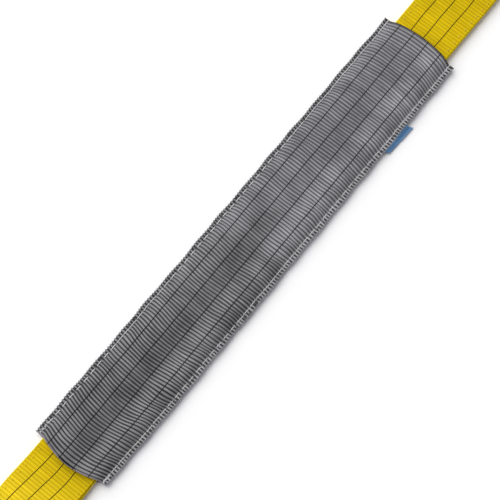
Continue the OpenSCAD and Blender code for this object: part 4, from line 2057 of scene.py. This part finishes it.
@dataclass
class Studio:
    """Floor, lamps, world and camera."""

    focal: float = 131.34
    sensor: float = 36.0
    clip: tuple[float, float] = (0.05, 50.0)
    yaw: float = 51.4516
    tilt: float = 17.3377
    distance: float = 2.4494
    start: tuple[float, float] = (-0.0368, -0.0412)
    sleeve_run: float = 0.0615
    sleeve_side: float = 0.00065
    key_strength: float = 3.22
    key_spread: float = 74.0
    key_from: tuple[float, float, float] = (0.04, 0.88, 1.0)
    world_strength: float = 0.30
    floor_reach: float = 6.0

    def floor(self) -> None:
        """Lays the floor."""
        corners = np.array([[-1, -1, 0], [1, -1, 0], [1, 1, 0], [-1, 1, 0]], float) * self.floor_reach / MM
        floor = make_object("floor", corners, [[0, 1, 2, 3]])
        floor.data.materials.append(FloorFinish().material())

    def key(self) -> None:
        """Hangs the soft key light, far off so that it falls evenly."""
        light = bpy.data.lights.new("key", "SUN")
        light.energy, light.angle = self.key_strength, math.radians(self.key_spread)
        made = bpy.data.objects.new("key", light)
        made.rotation_euler = Vector(self.key_from).to_track_quat("Z", "Y").to_euler()
        bpy.context.scene.collection.objects.link(made)

    def world(self) -> None:
        """Sets the world: white where the camera sees it, and a soft fill elsewhere."""
        world = bpy.data.worlds.new("studio")
        bpy.context.scene.world = world
        world.use_nodes = True
        world.node_tree.nodes.clear()
        b = Bench(world.node_tree)
        strength = b.remap(b.seen(), 0.0, 1.0, self.world_strength, 1.0)
        back = b.add("ShaderNodeBackground", {"Color": (1.0, 1.0, 1.0, 1.0), "Strength": strength})
        out = b.add("ShaderNodeOutputWorld")
        b.feed(out.inputs["Surface"], back.outputs[0])

    def camera(self) -> None:
        """Sets the camera over the sling, looking steeply down and along +Y."""
        data = bpy.data.cameras.new("camera")
        data.lens, data.sensor_width = self.focal, self.sensor
        data.clip_start, data.clip_end = self.clip
        made = bpy.data.objects.new("camera", data)
        bpy.context.scene.collection.objects.link(made)
        self._aim(made)
        bpy.context.scene.camera = made

    def _aim(self, camera: Piece) -> None:
        """Turns the camera's place over the ground into the sling's own frame.

        Args:
            camera: The camera.
        """
        yaw, tilt = math.radians(self.yaw), math.radians(self.tilt)
        along = Vector((math.cos(yaw), math.sin(yaw), 0.0))
        across = Vector((-math.sin(yaw), math.cos(yaw), 0.0))
        up = Vector((0.0, 0.0, 1.0))
        origin = Vector((*self.start, 0.0)) + along * self.sleeve_run - across * self.sleeve_side

        def own(v: Vector) -> Vector:
            """A ground direction in the sling's frame."""
            return Vector((v.dot(along), v.dot(across), v.dot(up)))

        look = Vector((0.0, math.sin(tilt), -math.cos(tilt)))
        top = Vector((0.0, math.cos(tilt), math.sin(tilt)))
        right = Vector((1.0, 0.0, 0.0))
        camera.location = own(-look * self.distance - origin)
        r, t, k = own(right), own(top), own(-look)
        turn = Matrix(((r.x, t.x, k.x), (r.y, t.y, k.y), (r.z, t.z, k.z)))
        camera.rotation_euler = turn.to_euler()


# ---------------------------------------------------------------- assembly


def finish_piece(piece: Piece, body: Body, nodes: Sequence[str]) -> None:
    """Lets a piece ride on its body and stand for its CAD nodes.

    Args:
        piece: The piece.
        body: The body that it rides on.
        nodes: The CAD nodes that it stands for.
    """
    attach(piece, body.value)
    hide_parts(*nodes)
    LOG.info("%s rides on %s, %d faces", piece.name, body.value, len(piece.data.polygons))


def blend_piece(
    piece: Piece, nodes: Sequence[str],
) -> None:
    """Lets a piece stand for its CAD nodes, which it hides, and bakes its transform into its mesh.

    Args:
        piece: The piece.
        nodes: The CAD nodes that it stands for.
    """
    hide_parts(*nodes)
    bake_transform(piece)


class Finishes:
    """The sling's materials, each built once."""

    def __init__(self, kit: ShaderKit, sleeve: WearSleeve, web: SlingWeb) -> None:
        """Builds the materials.

        Args:
            kit: The shader groups that they share.
            sleeve: The sleeve, for the pitch of its ribs and its ends.
            web: The web, for the pitch of its ribs.
        """
        self.sleeve_cloth = WebbingFinish(
            "grey_sleeve_cloth", ridge=(0.256, 0.256, 0.265), valley=(0.027, 0.027, 0.029),
            far_ridge=(0.312, 0.307, 0.330), far_valley=(0.094, 0.093, 0.101), rib_pitch=sleeve.rib_pitch,
            yarn_pitch=1.15, valley_low=0.50, valley_high=1.0, sharpness=sleeve.rib_sharpness, mottle_low=0.85,
            mottle_high=1.12, mottle_scale=24.0, streak_low=0.86, patchy=0.14, painted_flank_light=0.13, far_painted_flank_light=0.06,
            painted_sheen_middle_dark=0.41, slack_shade_low=0.93, slack_shade_high=1.07, edge_from=54.7, edge_to=sleeve.width / 2,
            end_at=sleeve.length / 2, end_width=3.1, far_end_width=1.9, end_tint=(0.20, 0.178, 0.215),
        ).material(kit)
        # The web's drift is painted light: the lighter, more lemon ribs towards end A are painted sheen, and the
        # darker, more orange ones from the sleeve's mouth on are painted shade of the sleeve.
        self.web_cloth = WebbingFinish(
            "yellow_web_cloth", ridge=(0.85, 0.66, 0.022), valley=(0.67, 0.462, 0.008), far_ridge=(0.665, 0.500, 0.005),
            far_valley=(0.52, 0.352, 0.003), rib_pitch=web.rib_pitch, yarn_pitch=1.2, sharpness=web.rib_sharpness,
            valley_low=0.30, valley_high=0.97, yarn_low=0.94, hue_shift=0.5, patchy=0.10, drift_from=-475.0,
            # The web's selvedge tones, lighter than its far ribs, are painted light on the shaded sides of its edges.
            drift_to=-375.0, gloss=0.05, edge_from=43.6, edge_to=web.width / 2, edge_light=(0.82, 0.63, 0.012),
            edge_dark=(0.72, 0.50, 0.006),
        ).material(kit)
        self.marker = ThreadFinish("black_marker_yarn", (0.006, 0.006, 0.007), roughness=0.9, gloss=0.05).material(kit)
        self.white_thread = ThreadFinish("white_seam_thread", (0.80, 0.80, 0.80)).material(kit)
        self.cream_thread = ThreadFinish("cream_splice_thread", (0.80, 0.62, 0.30)).material(kit)
        self.yellow_thread = ThreadFinish("yellow_edge_thread", (0.88, 0.66, 0.03), gloss=0.1).material(kit)
        self.pale_thread = ThreadFinish("pale_edge_thread", (0.82, 0.59, 0.065), gloss=0.1).material(kit)
        self.label_cloth = LabelFinish("blue_label_cloth", (0.083, 0.212, 0.415)).material(kit)


def build_sleeve(sleeve: WearSleeve, finishes: Finishes) -> None:
    """Builds and dresses the wear sleeve.

    Args:
        sleeve: The sleeve.
        finishes: The materials.
    """
    half = sleeve.length / 2
    cloth, black, white = finishes.sleeve_cloth, finishes.marker, finishes.white_thread
    relief = RibRelief(sleeve.rib_pitch, sleeve.rib_depth, sleeve.rib_sharpness)
    for part, top in (("top", True), ("bottom", False)):
        panel = relief.run(sleeve.panel(f"sleeve_{part}", top), cloth, half)
        finish_piece(panel, Body.SLEEVE, [f"sleeve_{part}_panel"])
        threads = relief.run(sleeve.marker_threads(f"sleeve_{part}_marker_threads", top), black, half)
        finish_piece(threads, Body.SLEEVE, [f"sleeve_{part}_markers"])
    for plan in sleeve.seams:
        ends = (-half + plan.start, *plan.joins, half - plan.stop)
        for n, (x0, x1, length) in enumerate(zip(ends, ends[1:], plan.lengths)):
            path = sleeve.seam_path(f"sleeve_seam_stitches_{plan.name}_{n + 1}", plan.side, x0, x1)
            thickness = plan.short_thickness if length < plan.short else plan.thickness
            row = StitchRow(sleeve.seam_pitch, length, thickness, uneven=0.07, seed=21 + int(plan.side) + n)
            finish_piece(row.run(path, white), Body.SLEEVE, [f"sleeve_seam_{plan.name}"])
    for plan in sleeve.seams:
        row = StitchRow(pitch=4.6, length=3.9, thickness=0.95, swing=0.55, seed=41 + int(plan.side))
        far, near = sleeve.far_tack
        for end, x0, x1, rows in (
            ("a", -half + sleeve.tack_start, -half + plan.tack_reach, sleeve.tack_rows),
            ("b", half - far, half - near, sleeve.tack_rows[:1]),
        ):
            path = sleeve.tack_path(f"sleeve_tack_stitches_{end}_{plan.name}", plan.side, rows, x0, x1)
            finish_piece(row.run(path, white), Body.SLEEVE, [f"sleeve_tack_{end}_{plan.name}"])


def build_sleeve_label(label: SleeveLabel, sleeve: WearSleeve, finishes: Finishes) -> None:
    """Builds and dresses the sleeve's own label.

    Args:
        label: The label.
        sleeve: The sleeve that holds it.
        finishes: The materials.
    """
    cloth = label.cloth("sleeve_label_cloth", sleeve.width / 2, sleeve.mid_z)
    cloth.data.materials.append(finishes.label_cloth)
    blend_piece(
        cloth, ["sleeve_label"],
    )


def build_web(web: SlingWeb, finishes: Finishes) -> None:
    """Builds and dresses the sling's web with its eyes.

    Args:
        web: The web.
        finishes: The materials.
    """
    cloth, black, cream = finishes.web_cloth, finishes.marker, finishes.cream_thread
    relief = RibRelief(web.rib_pitch, web.rib_depth, web.rib_sharpness)
    fold_row = StitchRow(pitch=4.6, length=4.0, thickness=0.8, rise=0.1, seed=61)
    splice_row = StitchRow(pitch=4.6, length=4.1, thickness=0.95, rise=0.1, seed=71)
    for side, eye in ((Side.A, Body.EYE_A), (Side.B, Body.EYE_B)):
        letter = side.name.lower()
        strip = relief.run(web.strip(f"web_{letter}", side), cloth)
        blend_piece(strip, ["upper_ply", "lower_ply", f"eye_{letter}_loop"])
        threads = relief.run(web.marker_threads(f"web_{letter}_marker_threads", side), black)
        blend_piece(threads, ["upper_ply_markers", "lower_ply_markers"])
        pad = relief.run(web.wear_pad(f"eye_{letter}_pad", side), cloth)
        finish_piece(pad, eye, [f"eye_{letter}_wear_pad"])
        fold = fold_row.run(web.fold_path(f"eye_{letter}_fold_stitches", side), cream)
        finish_piece(fold, eye, [f"eye_{letter}_fold_stitching"])
        splice = splice_row.run(web.splice_path(f"splice_stitches_{letter}", side), cream)
        finish_piece(splice, Body.SLING, [f"splice_stitching_{letter}"])
    for name, y in web.edge_seams:
        for side, thread, thickness, rise in (
            (Side.A, finishes.yellow_thread, 0.9, 0.03),
            (Side.B, finishes.pale_thread, 1.15, 0.06),
        ):
            path = web.edge_seam_path(f"edge_seam_stitches_{side.name.lower()}_{name}", side, y)
            row = StitchRow(pitch=12.9, length=4.4, thickness=thickness, rise=rise, seed=81)
            seam = row.run(path, thread)
            finish_piece(seam, Body.SLING, [f"edge_seam_{name}"])


def build_sling_label(label: SlingLabel, finishes: Finishes) -> None:
    """Builds and dresses the sling's own label.

    Args:
        label: The label.
        finishes: The materials.
    """
    cloth = label.cloth("sling_label_cloth")
    cloth.data.materials.append(finishes.label_cloth)
    blend_piece(
        cloth, ["sling_label", "sling_label_tab"],
    )
    path = label.stitch_path("sling_label_stitches")
    row = StitchRow(pitch=3.0, length=2.6, thickness=0.7, dip=0.3, seed=91)
    stitches = row.run(path, finishes.white_thread)
    finish_piece(stitches, Body.SLING, ["sling_label_stitching"])


def main() -> None:
    """Builds every part of the sling in order."""
    logging.basicConfig(level=logging.INFO, format="%(message)s")
    bpy.context.scene.view_settings.view_transform = "Standard"
    studio = Studio()
    studio.floor()
    studio.world()
    studio.key()
    studio.camera()
    sleeve, web = WearSleeve(), SlingWeb()
    finishes = Finishes(ShaderKit(), sleeve, web)
    build_sleeve(sleeve, finishes)
    build_sleeve_label(SleeveLabel(), sleeve, finishes)
    build_web(web, finishes)
    build_sling_label(SlingLabel(), finishes)


if __name__ == "__main__":
    main()
